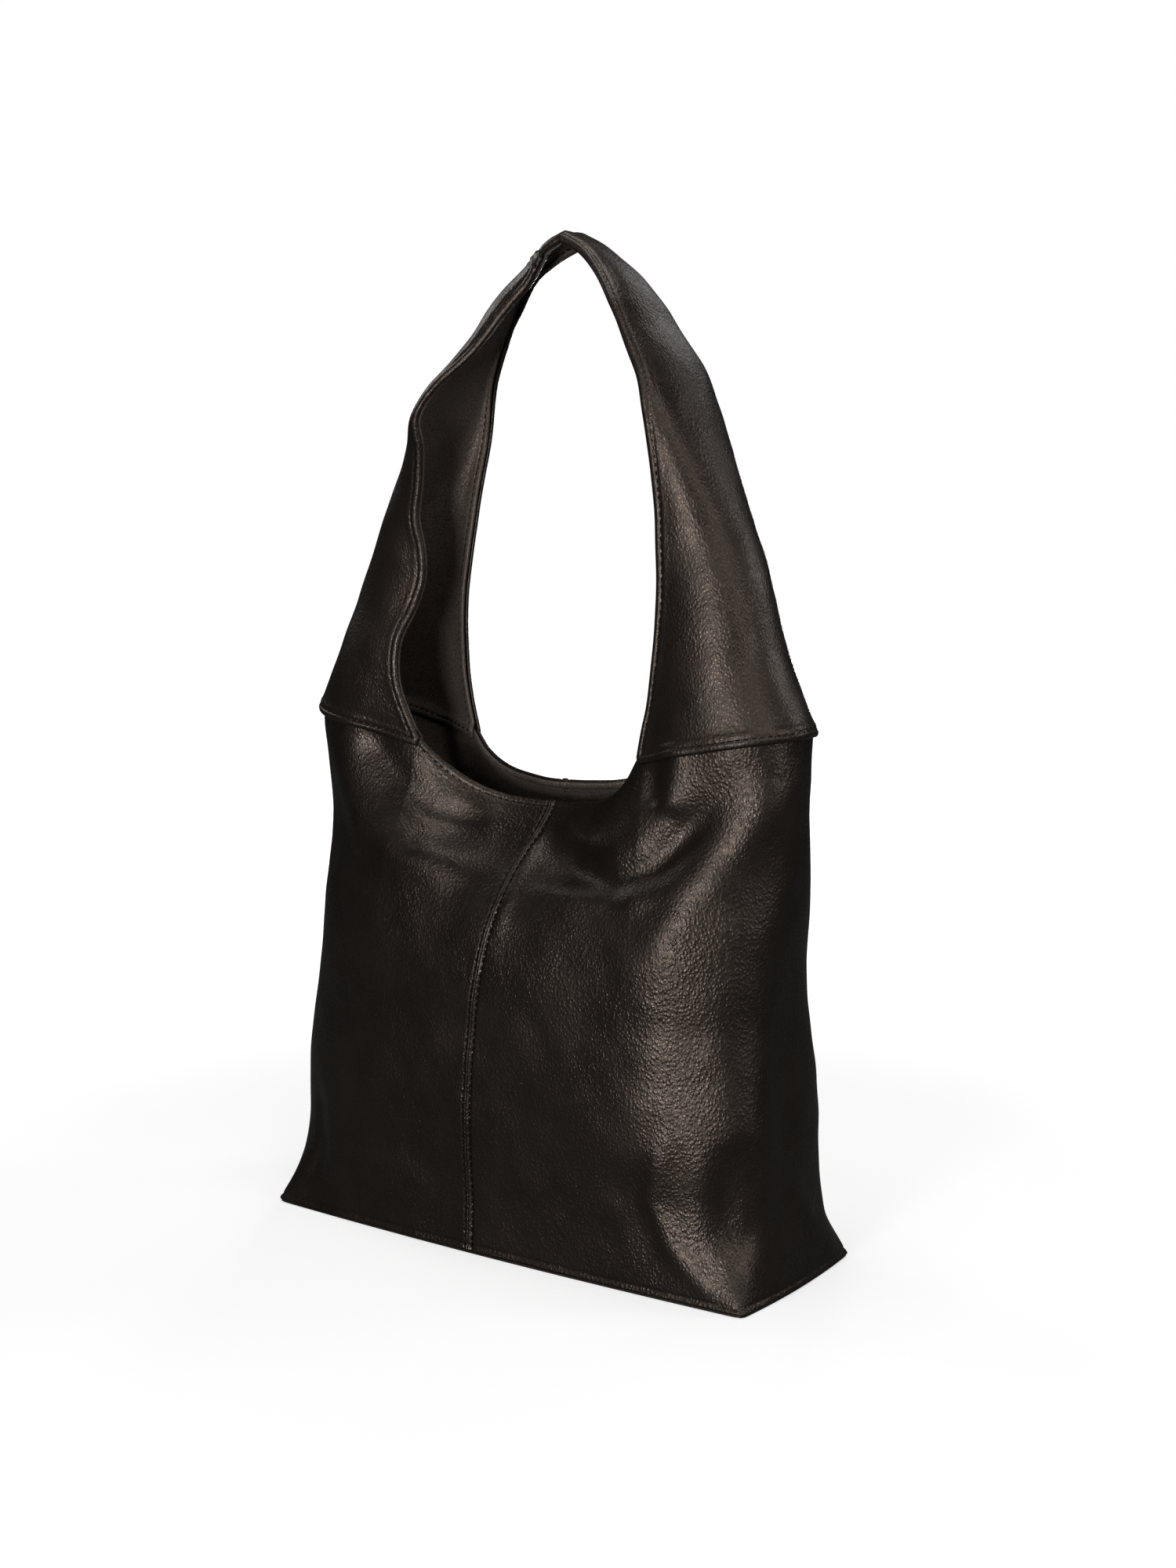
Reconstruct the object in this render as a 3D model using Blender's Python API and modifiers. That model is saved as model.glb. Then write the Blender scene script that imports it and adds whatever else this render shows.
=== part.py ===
"""Slouchy leather hobo bag, standing on its flat base.

Frame: metres, +Z up, front of the bag faces -Y, origin at the middle of the base on the floor.
Each half of the body is one leather panel that wraps from the front centre seam, round the side,
to the back centre seam. The shoulder strap grows out of the sides as two folded legs that flatten
into one strap at the top. The strap folds forwards and backwards about a line through both legs.
"""
import bpy
import bmesh
import math
import numpy as np
from mathutils import Matrix

# ---- driving dimensions (metres) -------------------------------------------------------------
LEATHER = 0.0014            # body and strap outer leather
SKIVED = 0.0012             # facing and strap lining leather
CLOTH = 0.0006              # lining cloth
GAP = 0.0003                # clearance between neighbouring pieces
BASE_THICK = 0.0016
BOARD_THICK = 0.0020
BODY_FOOT = 0.0024          # lower edge of the body panels above the floor

SEAM_HEIGHT = 0.335         # strap seam at the side of the bag
JUNCTION = (0.085, 0.030, 0.316)    # where the strap edge meets the rim: x, y, z
RIM = {-1: (0.004, 0.279), 1: (0.011, 0.291)}   # rim middle, front and back: |y|, z
OVERLAP = 0.036             # share of the body height covered by the strap's sewn lower edge
LAP_GUIDE = 0.93            # body row below the lap, used for its normals
FACING_FROM = 0.80          # facing band reaches down to this share of the body height
LINING_ROWS = (0.02, 0.05, 0.10, 0.20, 0.40, 0.60, 0.70, 0.796)
LINING_EASE = 0.0018        # the lining hangs this far inside the leather
LINING_FLAT = 0.0530        # the lining hangs flat at this |y|

# base plan: half length and half depth at the middles of the sides, and the pointed corner
BASE_PLAN = (0.1840, 0.0690)
BASE_CORNER = (0.1805, 0.0640)
# body sections above the base: height share, half length, half depth, squareness
SECTIONS = (
    (0.10, 0.1780, 0.0680, 5.0),
    (0.30, 0.1770, 0.0700, 3.8),
    (0.50, 0.1720, 0.0705, 3.1),
    (0.65, 0.1725, 0.0690, 2.7),
    (0.80, 0.1760, 0.0570, 2.4),
)
# strap stations from the side seam to the top: outer x, outer z, edge x, edge y, edge z, bulge
STRAP = (
    (0.1795, 0.335, 0.0850, 0.0300, 0.316, 0.0150),
    (0.1665, 0.362, 0.0910, 0.0295, 0.346, 0.0120),
    (0.1560, 0.389, 0.0930, 0.0285, 0.376, 0.0090),
    (0.1465, 0.416, 0.0935, 0.0280, 0.406, 0.0070),
    (0.1355, 0.444, 0.0920, 0.0285, 0.435, 0.0050),
    (0.1235, 0.471, 0.0900, 0.0300, 0.463, 0.0040),
    (0.1100, 0.498, 0.0870, 0.0325, 0.489, 0.0030),
    (0.0965, 0.524, 0.0820, 0.0340, 0.514, 0.0020),
    (0.0825, 0.548, 0.0750, 0.0330, 0.537, 0.0015),
    (0.0655, 0.570, 0.0620, 0.0290, 0.558, 0.0010),
    (0.0520, 0.590, 0.0500, 0.0260, 0.577, 0.0),
    (0.0370, 0.608, 0.0350, 0.0235, 0.595, 0.0),
    (0.0180, 0.623, 0.0165, 0.0220, 0.612, 0.0),
    (0.0000, 0.631, 0.0000, 0.0215, 0.621, 0.0),
)
TOP = len(STRAP) - 1
LEAN = (0.055, 0.007)       # the standing strap leans this much per metre above the seam
FOLD_HEIGHT = 0.455         # the strap folds about a line along X at this height
FOLD_SHELF = 0.0385         # lower legs stop this far below the fold line
FOLD_END = 0.0360           # upper legs end inside this radius of the fold line
FOLD_AXIS = (0.0, LEAN[1] * (FOLD_HEIGHT - SEAM_HEIGHT), FOLD_HEIGHT)
LEG_TOP = 8.0               # strap station above every lower leg's cut
LEG_ROWS = 5
FOLD_SEARCH = (2.0, 7.0)    # strap stations on either side of the round end
LINING_START = 0.12         # strap station where the strap lining starts, above the facing
JOIN_OFF_TOP = 2            # rows from the top to the seam that joins the strap halves
TAPE_INSET = 2              # columns the stay tape stops short of each strap edge
SPAN = (6.0, 7.0, 8.0, 9.0, 10.0, 11.0, 11.7, 12.4, 13.0)   # rows of the upper strap
TAPE = 0.0005               # reinforcing tape between the strap leathers
STRAP_LINING_AT = -0.0014   # middle of the strap lining, measured from the bag surface

QUARTER = 15                # columns in a quarter of the body
JOIN = 8                    # columns from the side to the strap junction
CORNER = 4                  # columns from the side to the base corner
BODY_ROWS = (0.0, 0.05, 0.10, 0.20, 0.30, 0.40, 0.50, 0.60, 0.70, 0.80, 0.87, 0.93,
             1.0 - OVERLAP, 1.0)

ZIP_Z = 0.200               # inside pocket zip
ZIP_HALF = 0.080
COIL_HALF = 0.0765
SLOT_HALF_HEIGHT = 0.0055    # half height of the slot in the lining
SLOT_CUT = (0.045, 0.060)   # y range of the slot cutters
TAPE_Y = (0.0533, 0.0541)   # zip tape, inner and outer face
TAPE_Z = (0.0023, 0.0140)   # zip tape, nearest and farthest from the middle of the zip
TAPE_HALF = 0.084           # half length of the zip tape
COIL_RADIUS = 0.00075
COIL_Z = 0.0013             # coil middle from the middle of the zip
WELT = (0.088, 0.0130)      # leather frame of the zip: half length, half height
WELT_Y = (0.0510, 0.0521)
SLIDER_X = -0.070
PULL_Y = 0.0500             # puller hinge line

SLIP_HALF = 0.075           # slip pocket: half width, lower and upper edge, how far it stands open
SLIP_Z = (0.090, 0.190)
SLIP_OPEN = 0.009
BAG_LOW = (-0.085, 0.0546, 0.085)   # pocket bag behind the zip
BAG_HIGH = (0.085, 0.0588, 0.212)
BAG_MOUTH_DROP = 0.008      # front of the pocket bag stops this far below the zip
BAG_CLOTH = 0.0004
SNAP_AT = 0.93              # height share of the snap
SNAP_RADIUS = 0.0080
SNAP_STANDOFF = 0.0004

COLOURS = {
    "outer_leather": ((0.022, 0.018, 0.015, 1), 0.55),
    "base_leather": ((0.018, 0.015, 0.013, 1), 0.60),
    "facing_leather": ((0.026, 0.021, 0.018, 1), 0.60),
    "strap_lining_leather": ((0.024, 0.019, 0.016, 1), 0.60),
    "lining_cloth": ((0.060, 0.050, 0.042, 1), 0.90),
    "pocket_cloth": ((0.075, 0.062, 0.050, 1), 0.90),
    "base_board": ((0.32, 0.25, 0.18, 1), 0.85),
    "stay_tape": ((0.55, 0.52, 0.47, 1), 0.90),
    "zip_tape": ((0.030, 0.026, 0.024, 1), 0.85),
    "zip_coil": ((0.035, 0.030, 0.028, 1), 0.40),
    "zip_metal": ((0.55, 0.43, 0.24, 1), 0.30),
    "snap_metal": ((0.60, 0.48, 0.28, 1), 0.28),
}


# ---- scene helpers ---------------------------------------------------------------------------
def clear_scene():
    for ob in list(bpy.data.objects):
        bpy.data.objects.remove(ob, do_unlink=True)


def new_collection(name):
    col = bpy.data.collections.new(name)
    bpy.context.scene.collection.children.link(col)
    return col


def make_material(name):
    colour, rough = COLOURS[name]
    mat = bpy.data.materials.new(name)
    mat.use_nodes = True
    shader = mat.node_tree.nodes["Principled BSDF"]
    shader.inputs["Base Color"].default_value = colour
    shader.inputs["Roughness"].default_value = rough
    shader.inputs["Metallic"].default_value = 1.0 if name.endswith("metal") else 0.0
    mat.diffuse_color = colour
    return mat


def add_object(name, mesh, material, origin=(0, 0, 0)):
    ob = bpy.data.objects.new(name, mesh)
    ob.location = origin
    mesh.transform(Matrix.Translation([-c for c in origin]))
    PART.objects.link(ob)
    mesh.materials.append(MATERIALS[material])
    return ob


def add_cutter(name, mesh):
    ob = bpy.data.objects.new(name, mesh)
    CUTTERS.objects.link(ob)
    ob.hide_render = True
    ob.display_type = 'WIRE'
    return ob


def mesh_from_bmesh(name, bm):
    bm.normal_update()
    bmesh.ops.recalc_face_normals(bm, faces=bm.faces)
    mesh = bpy.data.meshes.new(name)
    bm.to_mesh(mesh)
    bm.free()
    return mesh


def box_mesh(name, low, high, bevel=0.0):
    bm = bmesh.new()
    bmesh.ops.create_cube(bm, size=1.0)
    for v in bm.verts:
        for i in range(3):
            v.co[i] = low[i] + (v.co[i] + 0.5) * (high[i] - low[i])
    if bevel:
        bmesh.ops.bevel(bm, geom=list(bm.edges), offset=bevel, segments=1, affect='EDGES')
    return mesh_from_bmesh(name, bm)


def grid_mesh(name, grid):
    """Open sheet through a grid of points [row][column]."""
    rows, cols = grid.shape[:2]
    bm = bmesh.new()
    verts = [[bm.verts.new(grid[r, c]) for c in range(cols)] for r in range(rows)]
    for r in range(rows - 1):
        for c in range(cols - 1):
            bm.faces.new((verts[r][c], verts[r][c + 1], verts[r + 1][c + 1], verts[r + 1][c]))
    mesh = bpy.data.meshes.new(name)
    bm.to_mesh(mesh)
    bm.free()
    return mesh


def thicken(ob, thickness):
    mod = ob.modifiers.new("thickness", 'SOLIDIFY')
    mod.thickness = thickness
    mod.offset = 0.0
    mod.use_even_offset = True
    return mod


def boolean(ob, other, operation):
    mod = ob.modifiers.new(operation.lower() + "_" + other.name, 'BOOLEAN')
    mod.operation = operation
    mod.object = other
    mod.solver = 'EXACT'


# ---- bag surface -----------------------------------------------------------------------------
def spline(stations, values, s):
    """Smooth curve through values at stations, evaluated at s."""
    stations = np.asarray(stations, float)
    values = np.asarray(values, float)
    slopes = np.gradient(values, stations, axis=0)
    i = int(np.clip(np.searchsorted(stations, s, side='right') - 1, 0, len(stations) - 2))
    width = stations[i + 1] - stations[i]
    u = (s - stations[i]) / width
    return ((2 * u**3 - 3 * u**2 + 1) * values[i] + (u**3 - 2 * u**2 + u) * width * slopes[i]
            + (3 * u**2 - 2 * u**3) * values[i + 1] + (u**3 - u**2) * width * slopes[i + 1])


def resample(points, count):
    """Evenly spaced points along a dense polyline."""
    points = np.asarray(points, float)
    steps = np.linalg.norm(np.diff(points, axis=0), axis=1)
    along = np.concatenate([[0.0], np.cumsum(steps)])
    where = np.linspace(0.0, along[-1], count + 1)
    return np.column_stack([np.interp(where, along, points[:, i]) for i in range(points.shape[1])])


def quarter_section(half_length, half_depth, squareness):
    angle = np.linspace(0.0, math.pi / 2, 600)
    power = 2.0 / squareness
    x = half_length * np.cos(angle).clip(0) ** power
    y = half_depth * np.sin(angle) ** power
    return resample(np.column_stack([x, y]), QUARTER)


def base_quarter():
    """Base plan: gently bowed sides meeting in a pointed corner on column CORNER."""
    xc, yc = BASE_CORNER
    y = np.linspace(0.0, yc, 100)
    end = np.column_stack([BASE_PLAN[0] + (xc - BASE_PLAN[0]) * (y / yc)**2, y])
    x = np.linspace(xc, 0.0, 100)
    face = np.column_stack([x, BASE_PLAN[1] + (yc - BASE_PLAN[1]) * (x / xc)**2])
    return np.vstack([resample(end, CORNER), resample(face, QUARTER - CORNER)[1:]])


def folded_edge(station):
    """Half of a strap section from the outermost line to the edge, as x, y, z."""
    xo, zo, xf, yf, zf, bulge = station
    turn = np.linspace(0.0, 1.0, 200)
    phi = turn * math.pi / 2
    x = xf + (xo - xf) * np.cos(phi)
    y = yf * np.sin(phi) + bulge * np.sin(2 * phi)
    z = zf + (zo - zf) * (1 - turn**2)
    return resample(np.column_stack([x, y, z]), JOIN)


def top_quarter(side):
    """Top line of a quarter: strap seam from the side to the junction, then the rim."""
    rim_y, rim_z = RIM[side]
    xj, yj, zj = JUNCTION
    seam = folded_edge(STRAP[0])
    x = np.linspace(xj, 0.0, 200)
    share = x / xj
    rim = np.column_stack([x, rim_y + (yj - rim_y) * share**2, rim_z + (zj - rim_z) * share**3])
    return np.vstack([seam, resample(rim, QUARTER - JOIN)[1:]])


def body_row(h, side):
    """Quarter of the body at height share h, from the side (column 0) to the centre seam."""
    top = top_quarter(side)
    stations = [0.0] + [s[0] for s in SECTIONS] + [1.0]
    outlines = [base_quarter()] + [quarter_section(*s[1:]) for s in SECTIONS] + [top[:, :2]]
    flat = spline(stations, np.array(outlines), h)
    height = BODY_FOOT + (top[:, 2] - BODY_FOOT) * h
    return np.column_stack([flat, height])


def lean(points):
    rise = np.maximum(points[..., 2] - SEAM_HEIGHT, 0.0)
    out = points.copy()
    out[..., 0] += LEAN[0] * rise
    out[..., 1] += LEAN[1] * rise
    return out


def strap_row(t):
    """Full strap section at station t, front edge to back edge, right side, before leaning."""
    half = folded_edge(spline(range(TOP + 1), STRAP, min(t, float(TOP))))
    front = half[::-1] * (1, -1, 1)
    return np.vstack([front, half[1:]])


def body_loop(h):
    """Right half of the body at height share h, front centre seam to back centre seam."""
    front = body_row(h, -1)[::-1] * (1, -1, 1)
    return np.vstack([front, body_row(h, 1)[1:]])


def outward(grid):
    """Unit normals of a grid whose columns run front to back round the right side."""
    across = np.gradient(grid, axis=1)
    up = np.gradient(grid, axis=0)
    n = np.cross(across, up)
    return n / np.linalg.norm(n, axis=2, keepdims=True)


def offset(grid, distance):
    return grid + outward(grid) * distance


def mirrored(grid, side):
    """Right side as it is; left side mirrored in x, with columns reversed to keep it outward."""
    return grid if side > 0 else (grid * (-1, 1, 1))[:, ::-1]


def rows_between(low, high):
    inner = [h for h in BODY_ROWS if low + 1e-6 < h < high - 1e-6]
    return [low] + inner + [high]


def body_grid(low, high):
    return np.array([body_loop(h) for h in rows_between(low, high)])


SIDE_COLUMNS = slice(QUARTER - JOIN, QUARTER + JOIN + 1)


def leg_grid(start, stop_height):
    """Strap leg rows from station `start` up to a flat cut at stop_height."""
    columns = 2 * JOIN + 1
    ts = np.linspace(start, LEG_TOP, 41)
    zs = np.array([strap_row(t)[:, 2] for t in ts])
    stops = [np.interp(stop_height, zs[:, c], ts) for c in range(columns)]
    rows = []
    for share in np.linspace(0.0, 1.0, LEG_ROWS):
        rows.append([strap_row(start + (stops[c] - start) * share)[c] for c in range(columns)])
    return np.array(rows)


def fold_starts():
    """Station of each column where the upper leg ends on a round end about the fold line."""
    starts = []
    for c in range(2 * JOIN + 1):
        low, high = FOLD_SEARCH
        for _ in range(30):
            mid = 0.5 * (low + high)
            p = strap_row(mid)[c]
            if math.hypot(p[1], min(p[2] - FOLD_HEIGHT, 0.0)) < FOLD_END:
                high = mid
            else:
                low = mid
        starts.append(high)
    return starts


def strap_run():
    """Upper strap from the right fold end, over the top, to the left fold end, as a grid."""
    starts = fold_starts()
    rows = []
    for share in (0.0, 1 / 3, 2 / 3):
        rows.append([strap_row(t + (SPAN[0] - t) * share)[c] for c, t in enumerate(starts)])
    rows += [strap_row(t) for t in SPAN]
    right = np.array(rows)
    left = (right * (-1, 1, 1))[::-1][1:]
    return np.concatenate([right, left])


def end_gap(grid, first, last):
    """Draws the first or last row back by half the clearance."""
    out = grid.copy()
    for there, row, beside in ((first, 0, 1), (last, -1, -2)):
        if there:
            step = out[beside] - out[row]
            out[row] += step / np.linalg.norm(step, axis=1, keepdims=True) * GAP / 2
    return out


def add_sheet(name, mid, thickness, material, origin=(0, 0, 0)):
    ob = add_object(name, grid_mesh(name, mid), material, origin)
    thicken(ob, thickness)
    return ob


def sheet(name, grid, distance, thickness, material, side=1):
    """Piece of constant thickness whose outer face is `distance` outside the bag surface."""
    mid = offset(grid, distance - thickness / 2)
    return add_sheet(name, mirrored(mid, side), thickness, material)


# ---- leather body ----------------------------------------------------------------------------
def trim_centre(grid):
    """Leaves a hairline between left and right pieces at the centre seams."""
    out = grid.copy()
    out[:, (0, -1), 0] += GAP / 2
    return out


def build_body_panels():
    for side, word in ((-1, "left"), (1, "right")):
        sheet(word + "_body_panel", trim_centre(body_grid(0.0, 1.0)), 0.0, LEATHER,
              "outer_leather", side)


def build_facings():
    grid = trim_centre(body_grid(FACING_FROM, 1.0))
    for side, word in ((-1, "left"), (1, "right")):
        sheet(word + "_facing", grid, -LEATHER - GAP, SKIVED, "facing_leather", side)


def outline(inset):
    """Closed base outline moved in by inset, as x, y."""
    loop = body_loop(0.0)[:, :2]
    shrink = 1 - inset / np.array(BASE_PLAN)
    right = loop * shrink
    left = (right * (-1, 1))[::-1][1:-1]
    return np.vstack([right, left])


def plate(name, inset, low, thickness, material):
    bm = bmesh.new()
    bm.faces.new([bm.verts.new((x, y, low)) for x, y in outline(inset)])
    bmesh.ops.recalc_face_normals(bm, faces=bm.faces)
    face = list(bm.faces)
    raised = bmesh.ops.extrude_face_region(bm, geom=face)
    for v in raised["geom"]:
        if isinstance(v, bmesh.types.BMVert):
            v.co.z += thickness
    return add_object(name, mesh_from_bmesh(name, bm), material)


def build_base():
    plate("base_panel", 0.0, 0.0, BASE_THICK, "base_leather")
    board_z = BASE_THICK + GAP
    plate("base_board", 0.0040, board_z, BOARD_THICK, "base_board")
    plate("lining_base", 0.0045, board_z + BOARD_THICK + GAP, CLOTH, "lining_cloth")


# ---- strap -----------------------------------------------------------------------------------
def build_strap_legs():
    """Lower legs: the outer leather laps over the body, the lining starts above the facing."""
    cut = FOLD_HEIGHT - FOLD_SHELF
    for side, word in ((-1, "left"), (1, "right")):
        deep = GAP + LEATHER / 2
        lap = offset(body_grid(LAP_GUIDE, 1.0), deep)[1:, SIDE_COLUMNS]
        leg = offset(leg_grid(0.0, cut), deep)[1:]
        mid = lean(mirrored(np.concatenate([lap, leg]), side))
        add_sheet(word + "_strap_outer_lower", mid, LEATHER, "outer_leather")
        mid = lean(mirrored(offset(leg_grid(LINING_START, cut), STRAP_LINING_AT), side))
        add_sheet(word + "_strap_lining_lower", mid, SKIVED, "strap_lining_leather")


def build_strap_top():
    """Upper strap: leathers joined a little left of the top, tape between them all the way."""
    run = strap_run()
    join = len(run) // 2 + JOIN_OFF_TOP
    for layer, deep, thickness, material in (
            ("outer", GAP + LEATHER / 2, LEATHER, "outer_leather"),
            ("lining", STRAP_LINING_AT, SKIVED, "strap_lining_leather")):
        mid = lean(offset(run, deep))
        right = end_gap(mid[:join + 1], False, True)
        left = end_gap(mid[join:], True, False)
        add_sheet("right_strap_" + layer + "_upper", right, thickness, material, FOLD_AXIS)
        add_sheet("left_strap_" + layer + "_upper", left, thickness, material, FOLD_AXIS)
    tape = lean(offset(run, -TAPE / 2))[:, TAPE_INSET:-TAPE_INSET]
    add_sheet("strap_stay_tape", tape, TAPE, "stay_tape", FOLD_AXIS)


# ---- lining and pockets ----------------------------------------------------------------------
def flatten(grid, limit):
    """Lining hangs flat: |y| is eased down to limit, never past it."""
    out = grid.copy()
    y = np.abs(out[..., 1])
    out[..., 1] = np.sign(out[..., 1]) * np.minimum(y, limit)
    return out


def slot_cutter(name):
    low = (-ZIP_HALF, SLOT_CUT[0], ZIP_Z - SLOT_HALF_HEIGHT)
    high = (ZIP_HALF, SLOT_CUT[1], ZIP_Z + SLOT_HALF_HEIGHT)
    return add_cutter(name, box_mesh(name, low, high))


def build_lining():
    rows = np.array([body_loop(h) for h in LINING_ROWS])
    mid = offset(rows, -LEATHER - LINING_EASE - CLOTH / 2)
    mid = flatten(mid, LINING_FLAT - CLOTH / 2)
    side_column = QUARTER
    made = {}
    for word, columns in (("front", slice(0, side_column + 1)), ("back", slice(side_column, None))):
        right = mid[:, columns].copy()
        left = (right * (-1, 1, 1))[:, ::-1]
        edge = -1 if word == "front" else 0
        right[:, edge, 1] += (-GAP if word == "front" else GAP)
        left[:, 0 if word == "front" else -1, 1] += (-GAP if word == "front" else GAP)
        if word == "front":
            whole = np.concatenate([left[:, :-1], right], axis=1)
        else:
            whole = np.concatenate([right, left[:, 1:]], axis=1)
        name = "lining_" + word
        made[word] = add_object(name, grid_mesh(name, whole), "lining_cloth")
        thicken(made[word], CLOTH)
    boolean(made["back"], slot_cutter("zip_slot_cutter"), 'DIFFERENCE')


def build_slip_pocket():
    low, high = SLIP_Z
    face = -(LINING_FLAT - CLOTH - GAP)
    rows = []
    for z in np.linspace(low, high, 8):
        stand = SLIP_OPEN * math.sin(math.pi / 2 * (z - low) / (high - low))
        rows.append([(x, face + CLOTH / 2 + stand * math.cos(math.pi * x / 2 / SLIP_HALF), z)
                     for x in np.linspace(-SLIP_HALF, SLIP_HALF, 15)])
    ob = add_object("slip_pocket", grid_mesh("slip_pocket", np.array(rows)), "lining_cloth")
    thicken(ob, CLOTH)


def build_pocket_bag():
    bm = bmesh.new()
    bmesh.ops.create_cube(bm, size=1.0)
    for v in bm.verts:
        for i in range(3):
            v.co[i] = BAG_LOW[i] + (v.co[i] + 0.5) * (BAG_HIGH[i] - BAG_LOW[i])
    for v in bm.verts:
        if v.co.z > BAG_LOW[2] + CLOTH and v.co.y < BAG_LOW[1] + CLOTH:
            v.co.z = ZIP_Z - BAG_MOUTH_DROP
    lid = [f for f in bm.faces if f.normal.z > 0.5]
    bmesh.ops.delete(bm, geom=lid, context='FACES_ONLY')
    mesh = bpy.data.meshes.new("zip_pocket_bag")
    bm.to_mesh(mesh)
    bm.free()
    ob = add_object("zip_pocket_bag", mesh, "pocket_cloth")
    thicken(ob, BAG_CLOTH)


# ---- zip -------------------------------------------------------------------------------------
def build_zip():
    middle_y = sum(TAPE_Y) / 2
    for word, sign in (("upper", 1), ("lower", -1)):
        z = sorted(ZIP_Z + sign * d for d in TAPE_Z)
        name = "zip_tape_" + word
        low, high = (-TAPE_HALF, TAPE_Y[0], z[0]), (TAPE_HALF, TAPE_Y[1], z[1])
        add_object(name, box_mesh(name, low, high), "zip_tape")
        name = "zip_coil_" + word
        bm = bmesh.new()
        bmesh.ops.create_cone(bm, cap_ends=True, segments=12, radius1=COIL_RADIUS,
                              radius2=COIL_RADIUS, depth=2 * COIL_HALF)
        for v in bm.verts:
            v.co = (v.co.z, middle_y + v.co.y, ZIP_Z + sign * COIL_Z + v.co.x)
        add_object(name, mesh_from_bmesh(name, bm), "zip_coil")
    for word, sign in (("left", -1), ("right", 1)):
        name = "zip_stop_" + word
        x = sorted((sign * 0.0768, sign * 0.0786))
        add_object(name, box_mesh(name, (x[0], 0.0515, ZIP_Z - 0.0032),
                                  (x[1], 0.0530, ZIP_Z + 0.0032), 0.0003), "zip_metal")


def build_zip_frame():
    """Leather welt round the zip, sewn on the inner face of the back lining."""
    low, high = (-WELT[0], WELT_Y[0], ZIP_Z - WELT[1]), (WELT[0], WELT_Y[1], ZIP_Z + WELT[1])
    ob = add_object("zip_frame", box_mesh("zip_frame", low, high), "facing_leather")
    boolean(ob, slot_cutter("zip_frame_cutter"), 'DIFFERENCE')


def build_slider():
    x, z = SLIDER_X, ZIP_Z
    blocks = (
        ("front_plate", (x - 0.004, 0.0512, z - 0.0035), (x + 0.004, 0.0526, z + 0.0035)),
        ("back_plate", (x - 0.004, 0.0548, z - 0.0030), (x + 0.004, 0.0556, z + 0.0030)),
        ("post", (x + 0.001, 0.0520, z - 0.00022), (x + 0.0036, 0.0552, z + 0.00022)),
        ("bail_top", (x - 0.0008, 0.0480, z + 0.0018), (x + 0.0008, 0.0518, z + 0.0026)),
        ("bail_foot", (x - 0.0008, 0.0480, z - 0.0026), (x + 0.0008, 0.0518, z - 0.0018)),
        ("bail_bar", (x - 0.0008, 0.0480, z - 0.0026), (x + 0.0008, 0.0487, z + 0.0026)),
    )
    name, low, high = blocks[0]
    plate_mesh = box_mesh("zip_slider", low, high, 0.0004)
    slider = add_object("zip_slider", plate_mesh, "zip_metal", (x, PULL_Y, z))
    for name, low, high in blocks[1:]:
        boolean(slider, add_cutter("slider_" + name, box_mesh("slider_" + name, low, high)),
                'UNION')


def build_puller():
    x, z = SLIDER_X, ZIP_Z
    plate_mesh = box_mesh("zip_puller", (x - 0.0030, PULL_Y - 0.0005, z - 0.0240),
                          (x + 0.0030, PULL_Y + 0.0005, z + 0.0006))
    puller = add_object("zip_puller", plate_mesh, "zip_metal", (x, PULL_Y, z))
    mod = puller.modifiers.new("edges", 'BEVEL')
    mod.width = 0.0002
    mod.segments = 1
    eye = add_cutter("puller_eye", box_mesh("puller_eye", (x - 0.0014, PULL_Y - 0.003, z - 0.0050),
                                            (x + 0.0014, PULL_Y + 0.003, z - 0.0006)))
    boolean(puller, eye, 'DIFFERENCE')


# ---- magnetic snap ---------------------------------------------------------------------------
def disc(name, centre, axis, radius, thickness, material):
    bm = bmesh.new()
    bmesh.ops.create_cone(bm, cap_ends=True, segments=24, radius1=radius, radius2=radius,
                          depth=thickness)
    rim = [e for e in bm.edges if abs(e.verts[0].co.z - e.verts[1].co.z) < 1e-9]
    bmesh.ops.bevel(bm, geom=rim, offset=0.0003, segments=1, affect='EDGES')
    z = np.array(axis) / np.linalg.norm(axis)
    x = np.array((1.0, 0.0, 0.0))
    y = np.cross(z, x)
    for v in bm.verts:
        v.co = tuple(np.array(centre) + x * v.co.x + y * v.co.y + z * v.co.z)
    return add_object(name, mesh_from_bmesh(name, bm), material)


def build_snap():
    """Magnetic snap on the facings, a little below the rim at the centre seams."""
    grid = body_grid(FACING_FROM, 1.0)
    rows = rows_between(FACING_FROM, 1.0)
    at = rows.index(SNAP_AT)
    normals = outward(grid)
    deep = LEATHER + GAP + SKIVED + GAP + SNAP_STANDOFF
    for name, column, thick in (("snap_stud", 0, 0.0022), ("snap_socket", -1, 0.0026)):
        n = normals[at, column] * (0, 1, 1)
        n = n / np.linalg.norm(n)
        centre = grid[at, column] * (0, 1, 1) - n * (deep + thick / 2)
        disc(name, centre, n, SNAP_RADIUS, thick, "snap_metal")


clear_scene()
PART = new_collection("hobo_bag")
CUTTERS = new_collection("cutters")
MATERIALS = {name: make_material(name) for name in COLOURS}
build_base()
build_body_panels()
build_facings()
build_strap_legs()
build_strap_top()
build_lining()
build_slip_pocket()
build_pocket_bag()
build_zip()
build_zip_frame()
build_slider()
build_puller()
build_snap()
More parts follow.
